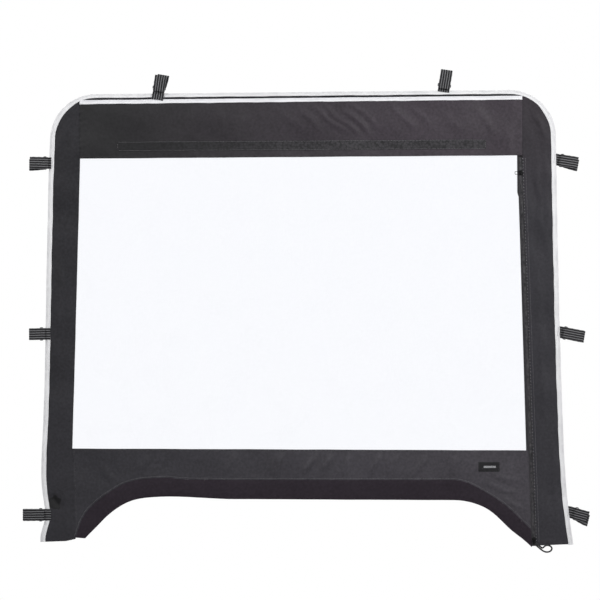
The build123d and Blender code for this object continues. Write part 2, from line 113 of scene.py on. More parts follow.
# Single folds in the cloth: from (x, z) to (x, z), width and height before the gain
FOLD_GAIN = 2.1
FOLD_WANDER = 0.0035
FOLD_WANDER_RATE = 55
FOLD_FADE = 0.35
FOLDS = [
    (0.016, -0.033, 0.130, -0.118, 0.0068, 0.0019),
    (0.050, -0.030, 0.160, -0.124, 0.0060, 0.0021),
    (0.100, -0.036, 0.190, -0.120, 0.0068, 0.0020),
    (0.128, -0.030, 0.210, -0.098, 0.0060, 0.0012),
    (-0.020, -0.040, 0.060, -0.112, 0.0080, 0.0012),
    (-0.080, -0.034, 0.020, -0.120, 0.0090, 0.0008),
    (0.235, -0.030, 0.310, -0.110, 0.0090, 0.0013),
    (0.290, -0.036, 0.350, -0.100, 0.0080, 0.0010),
    (0.370, -0.045, 0.440, -0.118, 0.0120, 0.0010),
    (0.450, -0.030, 0.540, -0.130, 0.0100, 0.0009),
    (-0.215, -0.030, -0.225, -0.150, 0.0090, 0.0014),
    (-0.165, -0.030, -0.180, -0.150, 0.0085, 0.0012),
    (-0.300, -0.040, -0.290, -0.140, 0.0140, 0.0009),
    (-0.050, -0.976, -0.084, -1.044, 0.0062, 0.0032),
    (-0.066, -0.980, -0.096, -1.036, 0.0060, 0.0020),
    (0.036, -0.974, -0.002, -1.040, 0.0062, 0.0029),
    (0.084, -0.976, 0.048, -1.038, 0.0064, 0.0032),
    (0.128, -0.980, 0.094, -1.040, 0.0062, 0.0027),
    (0.208, -0.976, 0.184, -1.038, 0.0070, 0.0027),
    (0.258, -0.978, 0.230, -1.032, 0.0070, 0.0017),
    (0.330, -0.976, 0.300, -1.040, 0.0085, 0.0020),
    (0.420, -0.980, 0.395, -1.040, 0.0085, 0.0017),
    (-0.180, -0.976, -0.215, -1.036, 0.0080, 0.0017),
    (-0.420, -0.980, -0.440, -1.030, 0.0090, 0.0015),
    (-0.545, -1.000, -0.505, -1.060, 0.0090, 0.0015),
    (0.460, -1.050, 0.595, -1.086, 0.0070, 0.0012),
    (0.500, -1.035, 0.600, -1.050, 0.0070, 0.0010),
    (0.530, -1.090, 0.600, -1.128, 0.0070, 0.0010),
    (0.628, -0.150, 0.648, -0.420, 0.0080, 0.0016),
    (0.655, -0.090, 0.660, -0.500, 0.0085, 0.0014),
    (0.634, -0.420, 0.655, -0.980, 0.0100, 0.0012),
    (0.668, -0.880, 0.690, -1.200, 0.0090, 0.0012),
    (-0.655, -0.350, -0.668, -0.800, 0.0110, 0.0012),
    (-0.674, -1.086, -0.660, -1.122, 0.0090, -0.0034),
    (-0.650, -1.060, -0.632, -1.190, 0.0080, 0.0012),
    (-0.640, -0.070, -0.655, -0.160, 0.0100, 0.0012),
    (0.615, -0.045, 0.660, -0.130, 0.0080, 0.0014),
]

# Cloth layers, as y of the front face and thickness
FABRIC_LAYER = (-0.0005, 0.0010)
HEADER_LAYER = (-0.0027, 0.0009)
HOOK_LAYER = (-0.0037, 0.0010)
FILM_Y = 0.0019
LABEL_LAYER = (-0.0010, 0.0005)
FACING_LAYER = (-0.0004, 0.0008)
HEM_PUFF = 0.0014

# Edge tapes, folded round an edge, and how much narrower they are at the very top
TAPE_WIDTH = 0.013
TAPE_WALL = 0.0011
TAPE_NARROW = 0.20
HEADER_TAPE_Y = -0.0022

# Zip
ZIP_MID_Y = 0.0016
COIL_PITCH = 0.0018
COIL_IN = -0.0004
COIL_OUT = 0.0033
COIL_HIGH = 0.00105
COIL_WIRE = 0.00043
COIL_POINTS = 8
COIL_SIDES = 5
COIL_HEAD_SWELL = 1.25
COIL_HEAD_REACH = 1.04
# Zip tape: its outer edge left and right of the middle, and its raised cord as (across, share of the rise)
ZIP_TAPE_OUTER = {-1: 0.0078, 1: 0.0158}
ZIP_TAPE_CORD = [(0.0030, -1.22), (0.0037, 0.30), (0.0046, 0.85), (0.0055, 0.30), (0.0065, 0.12)]
ZIP_TAPE_RISE = 0.0010
ZIP_TAPE_LIP = 0.0002

# Straps: webbing section, and the line it follows as (along, forward) from the hinge
WEBBING_HALF = 0.016
WEBBING_THICK = 0.0012
WEBBING_RIBS = 5
WEBBING_RIB_HEIGHT = 0.00045
WEBBING_SAMPLES = 43
WEBBING_STEP = 0.0014
TAIL_SHARE = 0.66
STRAP_JOIN = 0.0065
RING_OUT = 0.0136
RING_FORWARD = 0.0033
RING_TURN = 0.0018
LAYER_STEP = 0.0015
SLACK_FORWARD = 0.0066
SLACK_TURN = 0.0008
TAB_LAP = 0.0035
# Where the slack above the ring ends, by whether the hinge is on the front or the back of the screen
SLACK_END = {"front": 0.0006, "back": 0.0056}
# name: tail length, how far the loop puffs open, how far it sags sideways, and how far its tail drifts
STRAP_LOOKS = {
    "left_top": (0.050, 0.0014, 0.0050, 0.0010),
    "left_middle": (0.041, 0.0012, 0.0008, -0.0008),
    "left_bottom": (0.056, 0.0012, 0.0000, -0.0006),
    "top_left": (0.043, 0.0016, -0.0055, -0.0010),
    "top_right": (0.050, 0.0014, -0.0010, 0.0010),
    "right_top": (0.053, 0.0016, -0.0050, -0.0015),
    "right_middle": (0.060, 0.0014, -0.0020, 0.0010),
    "right_bottom": (0.044, 0.0030, -0.0100, 0.0010),
}

# Stitching
STITCH_PITCH = 0.0042
STITCH_LENGTH = 0.0031
STITCH_RADIUS = 0.00042
STITCH_LIFT = 0.00015
STITCH_DIP = 1.2
STITCH_SIDES = 5
# Sections of a stitch: share of its length, of its radius and of its lift
STITCH_SECTIONS = ((0.14, 0.72, 0.2), (0.5, 1.0, 1.0), (0.86, 0.72, 0.2))
BINDING_STITCH_IN = 0.0030
STRAP_STITCHES = (0.0045, 0.0100)
STRAP_STITCH_HALF = 0.0135
LABEL_BORDER = 0.0018
LABEL_BAR_ROWS = 6
LABEL_ROW_STEP = 0.0009
BARTACK = (0.3348, -1.0826)
BARTACK_HALF = 0.0045

# Painted shade of the deep tuck above the lower left strap: a dark round with a ragged edge
TUCK_SHADE_CENTRE = (-0.6715, 0.0, -1.1085)
TUCK_SHADE_RADIUS = 0.0275
TUCK_SHADE_RAGGED = 0.022
TUCK_SHADE_BLOTCH = 0.018
TUCK_SHADE_EDGE = 0.003
TUCK_SHADE_SHARE = 0.85
TUCK_SHADE_COLOUR = (0.0012, 0.0012, 0.0014)

# Film: its tint, its gloss face on, and how that grows towards a glancing view
FILM_TINT = (0.955, 0.965, 0.998, 1)
FILM_GLOSS = 0.035
GLANCE_GLOSS = 0.9
GLANCE_POWER = 5.0

# Light
SKY_LIGHT = 0.44
BACKDROP = 1.0
LIGHTS = [
    ("key", (2.3, -2.1, 1.1), 1.4, 66),
    ("fill", (-1.9, -2.3, 1.5), 1.5, 50),
    ("rim", (0.6, 3.4, 1.8), 2.2, 30),
]
FLOOR_GAP = 0.004
FLOOR_SIZE = 60.0


def joint_named(name):
    """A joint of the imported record."""
    return next(joint for joint in frame["joints"] if joint["name"] == name)


STRAP_JOINTS = {name: joint_named(f"strap_{name}_fold") for name in STRAP_LOOKS}


# Camera and cord


def make_camera():
    data = bpy.data.cameras.new("camera")
    data.sensor_width = SENSOR
    data.lens = SENSOR * VIEW_DISTANCE / VIEW_WIDTH
    camera = bpy.data.objects.new("camera", data)
    camera.location = (VIEW_CENTRE[0], -VIEW_DISTANCE, VIEW_CENTRE[1])
    camera.rotation_euler = (radians(90), 0, 0)
    bpy.context.scene.collection.objects.link(camera)
    bpy.context.scene.camera = camera


def make_cord(material):
    """Pull cord of the lower slider, on the same route as its CAD tube."""
    y = sum(corner.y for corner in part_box("pull_cord")) / 2
    curve = bpy.data.curves.new("pull_cord_line", "CURVE")
    curve.dimensions = "3D"
    spline = curve.splines.new("NURBS")
    spline.points.add(len(CORD_ROUTE) - 1)
    for point, (x, z) in zip(spline.points, CORD_ROUTE):
        point.co = (x, y, z, 1)
    spline.order_u = 3
    spline.use_endpoint_u = True
    spline.resolution_u = 10
    curve.bevel_depth = CORD_DIAMETER / 2
    curve.bevel_resolution = 4
    curve.materials.append(material)
    cord = bpy.data.objects.new("braided_pull_cord", curve)
    bpy.context.scene.collection.objects.link(cord)
    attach(cord, "lower_pull")
    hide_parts("pull_cord")


# Materials


class Paint:
    """A material's node tree, with short ways to add nodes to it."""

    def __init__(self, name, roughness, specular=0.5, metallic=0.0, **extra):
        self.material = bpy.data.materials.new(name)
        self.material.use_nodes = True
        self.nodes = self.material.node_tree.nodes
        self.links = self.material.node_tree.links
        self.shader = self.nodes["Principled BSDF"]
        self.set(self.shader, Roughness=roughness, Metallic=metallic)
        self.shader.inputs["Specular IOR Level"].default_value = specular
        for key, value in extra.items():
            self.shader.inputs[key.replace("_", " ")].default_value = value
        self.place = self.nodes.new("ShaderNodeTexCoord").outputs["Object"]
        self.height = None

    def set(self, node, **values):
        for key, value in values.items():
            node.inputs[key].default_value = value

    def use_uv(self):
        """Patterns follow the piece's length and width instead of its place."""
        node = self.nodes.new("ShaderNodeUVMap")
        node.uv_map = "along"
        self.place = node.outputs["UV"]

    def noise(self, size, detail=2.0, stretch=(1, 1, 1), distortion=0.0):
        """Smooth noise whose blotches are about that size in metres."""
        mapping = self.nodes.new("ShaderNodeMapping")
        mapping.inputs["Scale"].default_value = stretch
        self.links.new(self.place, mapping.inputs["Vector"])
        node = self.nodes.new("ShaderNodeTexNoise")
        self.set(node, Scale=1 / size, Detail=detail, Distortion=distortion)
        self.links.new(mapping.outputs[0], node.inputs["Vector"])
        return node.outputs["Fac"]

    def cells(self, size):
        """Distance from the middle of cells of that size."""
        node = self.nodes.new("ShaderNodeTexVoronoi")
        self.set(node, Scale=1 / size)
        self.links.new(self.place, node.inputs["Vector"])
        return node.outputs["Distance"]

    def bands(self, size, axis, distortion=0.0):
        """Waves across one axis, a band every size metres."""
        node = self.nodes.new("ShaderNodeTexWave")
        node.wave_type = "BANDS"
        node.bands_direction = axis
        node.wave_profile = "SIN"
        self.set(node, Scale=2 * pi / (20 * size), Distortion=distortion)
        self.links.new(self.place, node.inputs["Vector"])
        return node.outputs["Fac"]

    def span(self, source, low, high, start=0.0, end=1.0):
        """A value's range from start to end spread from low to high."""
        node = self.nodes.new("ShaderNodeMapRange")
        self.set(node, **{"From Min": start, "From Max": end, "To Min": low, "To Max": high})
        self.links.new(source, node.inputs["Value"])
        return node.outputs[0]

    def from_part(self, part, start, end):
        """0 to 1 between two values of the place's X, Y or Z."""
        split = self.nodes.new("ShaderNodeSeparateXYZ")
        self.links.new(self.place, split.inputs[0])
        return self.span(split.outputs[part], 0.0, 1.0, start, end)

    def math(self, operation, *values):
        node = self.nodes.new("ShaderNodeMath")
        node.operation = operation
        for socket, value in zip(node.inputs, values):
            if isinstance(value, (int, float)):
                socket.default_value = value
            else:
                self.links.new(value, socket)
        return node.outputs[0]

    def ramp(self, source, *stops):
        """Colours at places along a value."""
        node = self.nodes.new("ShaderNodeValToRGB")
        elements = node.color_ramp.elements
        while len(elements) < len(stops):
            elements.new(0.5)
        for element, (place, colour) in zip(elements, stops):
            element.position = place
            element.color = (*colour, 1)
        self.links.new(source, node.inputs[0])
        return node.outputs[0]

    def mix(self, share, a, b):
        """One colour turning to another as share goes from 0 to 1."""
        node = self.nodes.new("ShaderNodeMix")
        node.data_type = "RGBA"
        for name, value in (("Factor", share), ("A", a), ("B", b)):
            sockets = [s for s in node.inputs if s.name == name and s.enabled]
            if isinstance(value, (int, float)):
                sockets[0].default_value = value
            elif isinstance(value, tuple):
                sockets[0].default_value = (*value, 1)
            else:
                self.links.new(value, sockets[0])
        return next(s for s in node.outputs if s.enabled)

    def colour(self, source):
        self.links.new(source, self.shader.inputs["Base Color"])

    def rough(self, source, low, high):
        self.links.new(self.span(source, low, high), self.shader.inputs["Roughness"])

    def bump(self, height, distance, strength=1.0):
        node = self.nodes.new("ShaderNodeBump")
        self.set(node, Strength=strength, Distance=distance)
        self.links.new(height, node.inputs["Height"])
        if self.height is not None:
            self.links.new(self.height, node.inputs["Normal"])
        self.height = node.outputs[0]
        self.links.new(self.height, self.shader.inputs["Normal"])


def paint_tuck_shade(paint, before):
    """Paints the shade of the deep tuck above the lower left strap, which lies in its own shadow."""
    away = paint.nodes.new("ShaderNodeVectorMath")
    away.operation = "DISTANCE"
    away.inputs[1].default_value = TUCK_SHADE_CENTRE
    paint.links.new(paint.place, away.inputs[0])
    distance = away.outputs["Value"]
    ragged = paint.math("MULTIPLY_ADD", paint.noise(TUCK_SHADE_BLOTCH, 3.0), TUCK_SHADE_RAGGED, distance)
    share = paint.span(ragged, TUCK_SHADE_SHARE, 0.0, TUCK_SHADE_RADIUS, TUCK_SHADE_RADIUS + TUCK_SHADE_EDGE)
    return paint.mix(share, before, TUCK_SHADE_COLOUR)


def woven(
    name, dark, light, thread, roughness, specular, sheen,
    blotch=0.16, far_tone=None, tone_span=("X", -0.55, 0.45), tuck=False,
):
    """Plain weave polyester: crossing threads, fine fuzz, and a broad uneven sheen.

    Its tone may turn to another between two places, which on the header and the lower panel is painted light
    and sheen, and it may carry the tuck's painted shade.
    """
    paint = Paint(name, roughness, specular, Sheen_Weight=sheen, Sheen_Roughness=0.45)
    weave = paint.math("MULTIPLY", paint.bands(thread, "X", 0.4), paint.bands(thread, "Z", 0.4))
    broad = paint.noise(blotch, 3.0, distortion=0.4)
    fuzz = paint.noise(0.0016, 4.0)
    grain = paint.noise(0.0070, 3.0)
    tone = paint.math("MULTIPLY_ADD", grain, 0.9, paint.math("MULTIPLY", broad, 0.5))
    base = paint.ramp(tone, (0.50, dark), (0.90, light))
    # A second tone spread between two places: on the header and the lower panel this is painted light and
    # sheen from the right
    if far_tone:
        low, high = (tuple(share * value for value in far_tone) for share in (0.8, 1.35))
        base = paint.mix(paint.from_part(*tone_span), base, paint.ramp(tone, (0.50, low), (0.90, high)))
    colour = paint.mix(paint.span(weave, 0.0, 0.22), base, light)
    # The tuck's painted shade goes over the colour where it is asked for
    paint.colour(paint_tuck_shade(paint, colour) if tuck else colour)
    paint.rough(broad, roughness - 0.07, roughness + 0.07)
    paint.bump(weave, 0.00012, 0.6)
    paint.bump(fuzz, 0.0002, 0.35)
    return paint.material


def tape_cloth(name, dark, light, rib, roughness, inner=None):
    """Ribbed tape: ribs across its length, soiled a little in patches, lighter along its inner side."""
    paint = Paint(name, roughness, 0.25, Sheen_Weight=0.15)
    paint.use_uv()
    ribs = paint.bands(rib, "X", 0.6)
    fuzz = paint.noise(0.0012, 4.0)
    soil = paint.noise(0.05, 3.0)
    base = paint.ramp(soil, (0.30, dark), (0.62, light))
    if inner:
        base = paint.mix(paint.from_part("Y", 0.0055, 0.0080), base, inner)
    paint.colour(paint.mix(paint.span(ribs, 0.16, 0.0), base, dark))
    paint.rough(fuzz, roughness - 0.08, roughness + 0.08)
    paint.bump(ribs, 0.00022, 0.7)
    paint.bump(fuzz, 0.0002, 0.4)
    return paint.material


def webbing_cloth(name, dark, light):
    """Ribbed webbing: slanting black yarns, with a painted highlight along the crest of each rib."""
    paint = Paint(name, 0.6, 0.3, Sheen_Weight=0.1, Sheen_Roughness=0.4)
    paint.use_uv()
    across = paint.bands(2 * WEBBING_HALF / WEBBING_RIBS, "Y", 0.6)
    yarns = paint.bands(0.0022, "X", 1.5)
    fuzz = paint.noise(0.0009, 4.0)
    # The crest of each rib turns to the light tone: a painted highlight
    tone = paint.math("MULTIPLY", across, paint.span(yarns, 0.72, 1.0))
    base = paint.ramp(tone, (0.50, dark), (0.92, light))
    paint.colour(paint.mix(paint.span(fuzz, 0.0, 0.5), base, dark))
    paint.rough(fuzz, 0.5, 0.72)
    paint.bump(yarns, 0.00025, 0.8)
    paint.bump(fuzz, 0.0002, 0.5)
    return paint.material


def clear_film(name):
    """Clear soft film: see-through, slightly blue, with faint cloudy rubs and a wavy gloss."""
    paint = Paint(name, 0.06, 0.5)
    cloud = paint.noise(0.11, 4.0, distortion=0.7)
    rubs = paint.noise(0.035, 3.0, stretch=(1, 1, 0.35), distortion=0.5)
    haze = paint.math("MULTIPLY", paint.ramp(cloud, (0.45, (0, 0, 0)), (0.70, (1, 1, 1))), rubs)
    facing = paint.nodes.new("ShaderNodeLayerWeight").outputs["Facing"]
    glance = paint.math("MULTIPLY_ADD", paint.math("POWER", facing, GLANCE_POWER), GLANCE_GLOSS, FILM_GLOSS)
    paint.colour(paint.ramp(rubs, (0.3, (0.84, 0.86, 0.93)), (0.7, (0.93, 0.94, 0.97))))
    share = paint.math("ADD", paint.span(haze, 0.01, 0.16), glance)
    clear = paint.nodes.new("ShaderNodeBsdfTransparent")
    clear.inputs["Color"].default_value = FILM_TINT
    blend = paint.nodes.new("ShaderNodeMixShader")
    paint.links.new(share, blend.inputs[0])
    paint.links.new(clear.outputs[0], blend.inputs[1])
    paint.links.new(paint.shader.outputs[0], blend.inputs[2])
    paint.links.new(blend.outputs[0], paint.nodes["Material Output"].inputs["Surface"])
    paint.rough(cloud, 0.03, 0.16)
    paint.bump(paint.noise(0.06, 2.0), 0.0006, 0.5)
    return paint.material


def hook_cloth(name):
    """Hook side of a touch fastener: tiny hooks in clumps, lighter to the right."""
    paint = Paint(name, 0.6, 0.3, Sheen_Weight=0.08)
    hooks = paint.cells(0.0016)
    clumps = paint.cells(0.0062)
    patches = paint.noise(0.040, 3.0)
    tone = paint.math("MULTIPLY", paint.span(clumps, 1.5, 0.0), paint.span(patches, 0.2, 1.5))
    left_tone = paint.ramp(tone, (0.20, (0.0040, 0.0039, 0.0046)), (0.95, (0.0110, 0.0106, 0.0124)))
    right_tone = paint.ramp(tone, (0.20, (0.0125, 0.0118, 0.0134)), (0.95, (0.0400, 0.0375, 0.0420)))
    paint.colour(paint.mix(paint.from_part("X", -0.40, 0.10), left_tone, right_tone))
    paint.rough(patches, 0.5, 0.72)
    paint.bump(hooks, 0.0006, 0.7)
    return paint.material


def plastic(name, dark, light, roughness, grain=0.0012):
    """Moulded plastic: fine grain, slight flow marks and rubbed spots."""
    paint = Paint(name, roughness, 0.5)
    flow = paint.noise(0.012, 3.0, distortion=0.6)
    fine = paint.noise(grain, 3.0)
    paint.colour(paint.ramp(flow, (0.35, dark), (0.72, light)))
    paint.rough(fine, roughness - 0.08, roughness + 0.14)
    paint.bump(fine, 0.0001, 0.45)
    return paint.material


def metal(name, paint_colour, bare, roughness, wear):
    """Enamelled zinc casting with bare metal where it is rubbed."""
    paint = Paint(name, roughness, 0.5, metallic=0.6)
    rubbed = paint.noise(0.0035, 5.0, distortion=0.5)
    fine = paint.noise(0.0006, 3.0)
    mask = paint.ramp(rubbed, (wear, (0, 0, 0)), (min(1.0, wear + 0.12), (1, 1, 1)))
    paint.colour(paint.mix(mask, paint_colour, bare))
    paint.rough(rubbed, roughness + 0.15, roughness - 0.10)
    paint.bump(fine, 0.00006, 0.5)
    return paint.material


def braid(name, dark, light):
    """Braided cord: small raised strands with a little fuzz."""
    paint = Paint(name, 0.6, 0.35, Sheen_Weight=0.3)
    fuzz = paint.noise(0.0016, 2.0, distortion=1.2)
    strands = paint.cells(0.0014)
    paint.colour(paint.ramp(strands, (0.10, light), (0.62, dark)))
    paint.rough(fuzz, 0.5, 0.75)
    paint.bump(strands, 0.0006, 0.8)
    paint.bump(fuzz, 0.0002, 0.4)
    return paint.material


def thread_cloth(name, dark, light):
    """Twisted sewing thread."""
    paint = Paint(name, 0.55, 0.4, Sheen_Weight=0.2)
    twist = paint.noise(0.0008, 3.0)
    paint.colour(paint.ramp(twist, (0.35, dark), (0.65, light)))
    paint.rough(twist, 0.45, 0.7)
    paint.bump(twist, 0.0002, 0.6)
    return paint.material


MATERIALS = {
    # Left panel, header backing and zip facing: lighter towards the bottom, with the tuck's painted shade
    "fabric": woven(
        "black_polyester", (0.0076, 0.0074, 0.0098), (0.0176, 0.0168, 0.0212), 0.00075, 0.62, 0.30, 0.10,
        far_tone=(0.0180, 0.0172, 0.0214), tone_span=("Z", -0.35, -1.05), tuck=True,
    ),
    # Right panel: a lighter copy of the black polyester that paints the stronger light on the right; towards
    # the top its tone turns to the purple of the header's painted sheen
    "right": woven(
        "right_polyester_painted_light", (0.0170, 0.0162, 0.0204), (0.0280, 0.0264, 0.0326), 0.00075, 0.62, 0.30, 0.10,
        far_tone=(0.0222, 0.0176, 0.0226), tone_span=("Z", -0.34, -0.04),
    ),
    # Header front: turns lighter and purple to the right, a painted sheen of the light from the right
    "header": woven(
        "header_polyester", (0.0044, 0.0042, 0.0052), (0.0098, 0.0092, 0.0112), 0.00075, 0.58, 0.34, 0.12,
        blotch=0.22, far_tone=(0.0338, 0.0262, 0.0343), tone_span=("X", -0.52, 0.28),
    ),
    # Lower panel: lighter to the right, painted light from the right
    "lower": woven(
        "lower_polyester", (0.0165, 0.0156, 0.0198), (0.0292, 0.0276, 0.0344), 0.00075, 0.58, 0.34, 0.12,
        blotch=0.22, far_tone=(0.0405, 0.0364, 0.0440),
    ),
    "hem": woven(
        "hem_polyester", (0.0145, 0.0100, 0.0150), (0.0220, 0.0158, 0.0228), 0.0006, 0.72, 0.2, 0.08
    ),
    "tape": tape_cloth(
        "binding_tape", (0.62, 0.62, 0.635), (0.75, 0.75, 0.76), 0.0011, 0.85, inner=(0.80, 0.80, 0.81)
    ),
    "header_tape": tape_cloth(
        "pocket_tape", (0.68, 0.68, 0.71), (0.78, 0.78, 0.81), 0.0011, 0.85, inner=(0.84, 0.84, 0.86)
    ),
    "film": clear_film("clear_film"),
    "hook": hook_cloth("hook_tape"),
    # Webbing: its light tone is the painted highlight on the rib crests
    "webbing": webbing_cloth("webbing_polyester", (0.0036, 0.0036, 0.0044), (0.27, 0.27, 0.285)),
    "zip_tape": tape_cloth(
        "zip_tape_cloth", (0.0300, 0.0285, 0.0320), (0.0560, 0.0530, 0.0590), 0.0009, 0.75
    ),
    "coil": plastic("coil_nylon", (0.0260, 0.0250, 0.0280), (0.1500, 0.1450, 0.1550), 0.42, 0.0006),
    "ring": plastic("ring_acetal", (0.004, 0.004, 0.0045), (0.010, 0.010, 0.011), 0.40),
    "sleeve": plastic("sleeve_rubber", (0.006, 0.006, 0.0066), (0.014, 0.014, 0.015), 0.68, 0.0008),
    "slider": metal("slider_enamel", (0.010, 0.010, 0.011), (0.34, 0.34, 0.35), 0.38, 0.66),
    "pull": metal("pull_enamel", (0.004, 0.004, 0.0045), (0.10, 0.10, 0.105), 0.55, 0.70),
    "cord": braid("cord_braid", (0.0025, 0.0025, 0.003), (0.010, 0.010, 0.011)),
    "label": woven(
        "label_weave", (0.0090, 0.0088, 0.0100), (0.0170, 0.0165, 0.0185), 0.0004, 0.65, 0.2, 0.03, 0.02
    ),
    "black_thread": thread_cloth("black_thread", (0.010, 0.010, 0.011), (0.036, 0.035, 0.039)),
    "grey_thread": thread_cloth("grey_thread", (0.090, 0.088, 0.096), (0.230, 0.225, 0.240)),
    "pale_thread": thread_cloth("pale_thread", (0.46, 0.46, 0.48), (0.66, 0.66, 0.68)),
}


# Outlines of the CAD nodes


def rim_of(faces):
    """Directed boundary edges of a set of faces."""
    edges = set()
    for face in faces:
        for a, b in zip(face, face[1:] + face[:1]):
            if (b, a) in edges:
                edges.remove((b, a))
            else:
                edges.add((a, b))
    return edges


def signed_area(loop):
    """Area inside a closed outline, negative where it runs clockwise."""
    return sum(a[0] * b[1] - b[0] * a[1] for a, b in zip(loop, loop[1:] + loop[:1])) / 2


def front_outline(node):
    """Boundary of a CAD node's front face, anticlockwise as (x, z) points."""
    mesh = frame["nodes"][node].data
    front = min(vertex.co.y for vertex in mesh.vertices)
    faces = []
    for polygon in mesh.polygons:
        corners = [mesh.vertices[i].co for i in polygon.vertices]
        if max(corner.y for corner in corners) - front <= 1e-5:
            faces.append([(round(corner.x, 6), round(corner.z, 6)) for corner in corners])
    following = dict(rim_of(faces))
    start = min(following)
    loop = [start]
    while following[loop[-1]] != start:
        loop.append(following[loop[-1]])
    return loop if signed_area(loop) > 0 else loop[::-1]


def len_of(line):
    return sum(hypot(b[0] - a[0], b[1] - a[1]) for a, b in zip(line, line[1:]))


def turn_at(before, here, after):
    """How far a line of points turns at one of them."""
    a = Vector((here[0] - before[0], here[1] - before[1]))
    b = Vector((after[0] - here[0], after[1] - here[1]))
    return a.angle(b, 0.0)


def split_at_corners(loop):
    """A closed outline as sides, each from one corner to the next."""
    count = len(loop)
    turns = [turn_at(loop[i - 1], loop[i], loop[(i + 1) % count]) for i in range(count)]
    corners = [i for i, turn in enumerate(turns) if turn > CORNER_TURN] or [0]
    sides = []
    for here, after in zip(corners, corners[1:] + [corners[0] + count]):
        sides.append([loop[i % count] for i in range(here, after + 1)])
    return sides


def along_line(points):
    """How far along a line each of its points is."""
    return np.concatenate([[0], np.cumsum(np.linalg.norm(np.diff(points, axis=0), axis=1))])


def headings(points):
    """Unit directions of a line at its points."""
    ahead = np.gradient(points, axis=0)
    return ahead / np.linalg.norm(ahead, axis=1)[:, None]


def spaced(line, step):
    """The same line with its points evenly spaced, about a step apart."""
    points = np.array(line, float)
    lengths = along_line(points)
    count = max(1, round(lengths[-1] / step))
    places = np.linspace(0, lengths[-1], count + 1)
    return np.stack([np.interp(places, lengths, points[:, i]) for i in range(points.shape[1])], axis=1)


def shifted(line, distance):
    """A line of (x, z) points moved to its left by a distance."""
    points = np.array(line, float)
    ahead = headings(points)
    return points + distance * np.stack([-ahead[:, 1], ahead[:, 0]], axis=1)


def tree_of(points):
    """Nearest-point lookup for (x, z) points."""
    tree = KDTree(len(points))
    for i, (x, z) in enumerate(points):
        tree.insert((x, 0, z), i)
    tree.balance()
    return tree


def distances(tree, x, z):
    return np.array([tree.find((a, 0, b))[2] for a, b in zip(x, z)])


FABRIC_NODES = [
    "left_side_panel",
    "right_side_panel",
    "header_backing",
    "header_panel",
    "lower_panel",
    "bonnet_hem",
    "zip_facing",
]
OTHER_NODES = ["window_film", "edge_binding", "hook_strip", "woven_label"]
OUTLINES = {node: front_outline(node) for node in FABRIC_NODES + OTHER_NODES}
SEAMS = [spaced(side, SEAM_STEP) for node in FABRIC_NODES for side in split_at_corners(OUTLINES[node])]
SEAM_TREE = tree_of(np.concatenate(SEAMS))

# Zip line, from the slider's joint and the coils' boxes
ZIP_AXIS = Vector(joint_named("lower_slider_travel")["axis"])
ZIP_CENTRE = sum([*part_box("zipper_coil_left"), *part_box("zipper_coil_right")], Vector()) / 4
ZIP_ACROSS = Vector((ZIP_AXIS.z, 0, -ZIP_AXIS.x))


def zip_reach(node):
    """How far a node runs along the zip from its middle, as (least, most)."""
    return [(corner.z - ZIP_CENTRE.z) / ZIP_AXIS.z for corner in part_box(node)]


def zip_point(along, across, forward=0.0):
    """Point beside the zip: along it from its middle, across to the right, and forward."""
    point = ZIP_CENTRE + ZIP_AXIS * along + ZIP_ACROSS * across
    return Vector((point.x, ZIP_MID_Y - forward, point.z))


# Wrinkles


def smooth(value, low, high):
    t = np.clip((value - low) / (high - low), 0, 1)
    return t * t * (3 - 2 * t)


def wave_set(seed, count, shortest, longest):
    """Fixed waves of mixed length and direction, as (x rate, z rate, phase)."""
    random = Random(seed)
    waves = []
    for _ in range(count):
        length = random.uniform(shortest, longest)
        angle = random.uniform(-pi / 2, pi / 2)
        waves.append((2 * pi * cos(angle) / length, 2 * pi * sin(angle) / length, random.uniform(0, 2 * pi)))
    return waves


def wave_height(waves, x, z):
    return sum(np.sin(a * x + b * z + phase) for a, b, phase in waves) / (len(waves) / 2) ** 0.5


BROAD_WAVES = wave_set(11, 9, 0.10, 0.42)
FINE_WAVES = wave_set(5, 14, 0.018, 0.045)
PUCKER_WAVES = wave_set(23, 12, 0.010, 0.024)
FILM_WAVES = wave_set(31, 8, 0.16, 0.55)


def fold_height(x, z):
    """Sum of the single folds."""
    total = np.zeros_like(x)
    for x0, z0, x1, z1, width, height in FOLDS:
        length = hypot(x1 - x0, z1 - z0)
        along = ((x - x0) * (x1 - x0) + (z - z0) * (z1 - z0)) / length
        across = ((x - x0) * (z1 - z0) - (z - z0) * (x1 - x0)) / length
        across = across + FOLD_WANDER * np.sin(along * FOLD_WANDER_RATE + x0 * 40)
        ends = smooth(along, -0.006, FOLD_FADE * length) * smooth(length - along, -0.006, FOLD_FADE * length)
        total += height * ends * np.exp(-((across / width) ** 2))
    return FOLD_GAIN * total


def calm(x, z):
    """0 beside the zip and the straps' hinges, where stiff parts sit, rising to 1 away from them."""
    from_zip = np.abs((x - ZIP_CENTRE.x) * ZIP_ACROSS.x + (z - ZIP_CENTRE.z) * ZIP_ACROSS.z)
    share = smooth(from_zip, 0.010, 0.034)
    for joint in STRAP_JOINTS.values():
        px, _, pz = joint["pos_m"]
        share = share * smooth(np.hypot(x - px, z - pz), 0.016, 0.050)
    return share


def relief(x, z):
    """Height of the wrinkled screen towards the front, shared by all its layers."""
    x, z = np.asarray(x, float), np.asarray(z, float)
    near_seam = np.exp(-distances(SEAM_TREE, x, z) / PUCKER_REACH)
    height = BROAD_HEIGHT * wave_height(BROAD_WAVES, x, z)
    height = height + fold_height(x, z)
    height = height + FINE_HEIGHT * wave_height(FINE_WAVES, x, z)
    height = height + PUCKER_HEIGHT * near_seam * wave_height(PUCKER_WAVES, x, z)
    return height * calm(x, z)


HEADER_LOW, HEADER_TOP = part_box("header_panel")


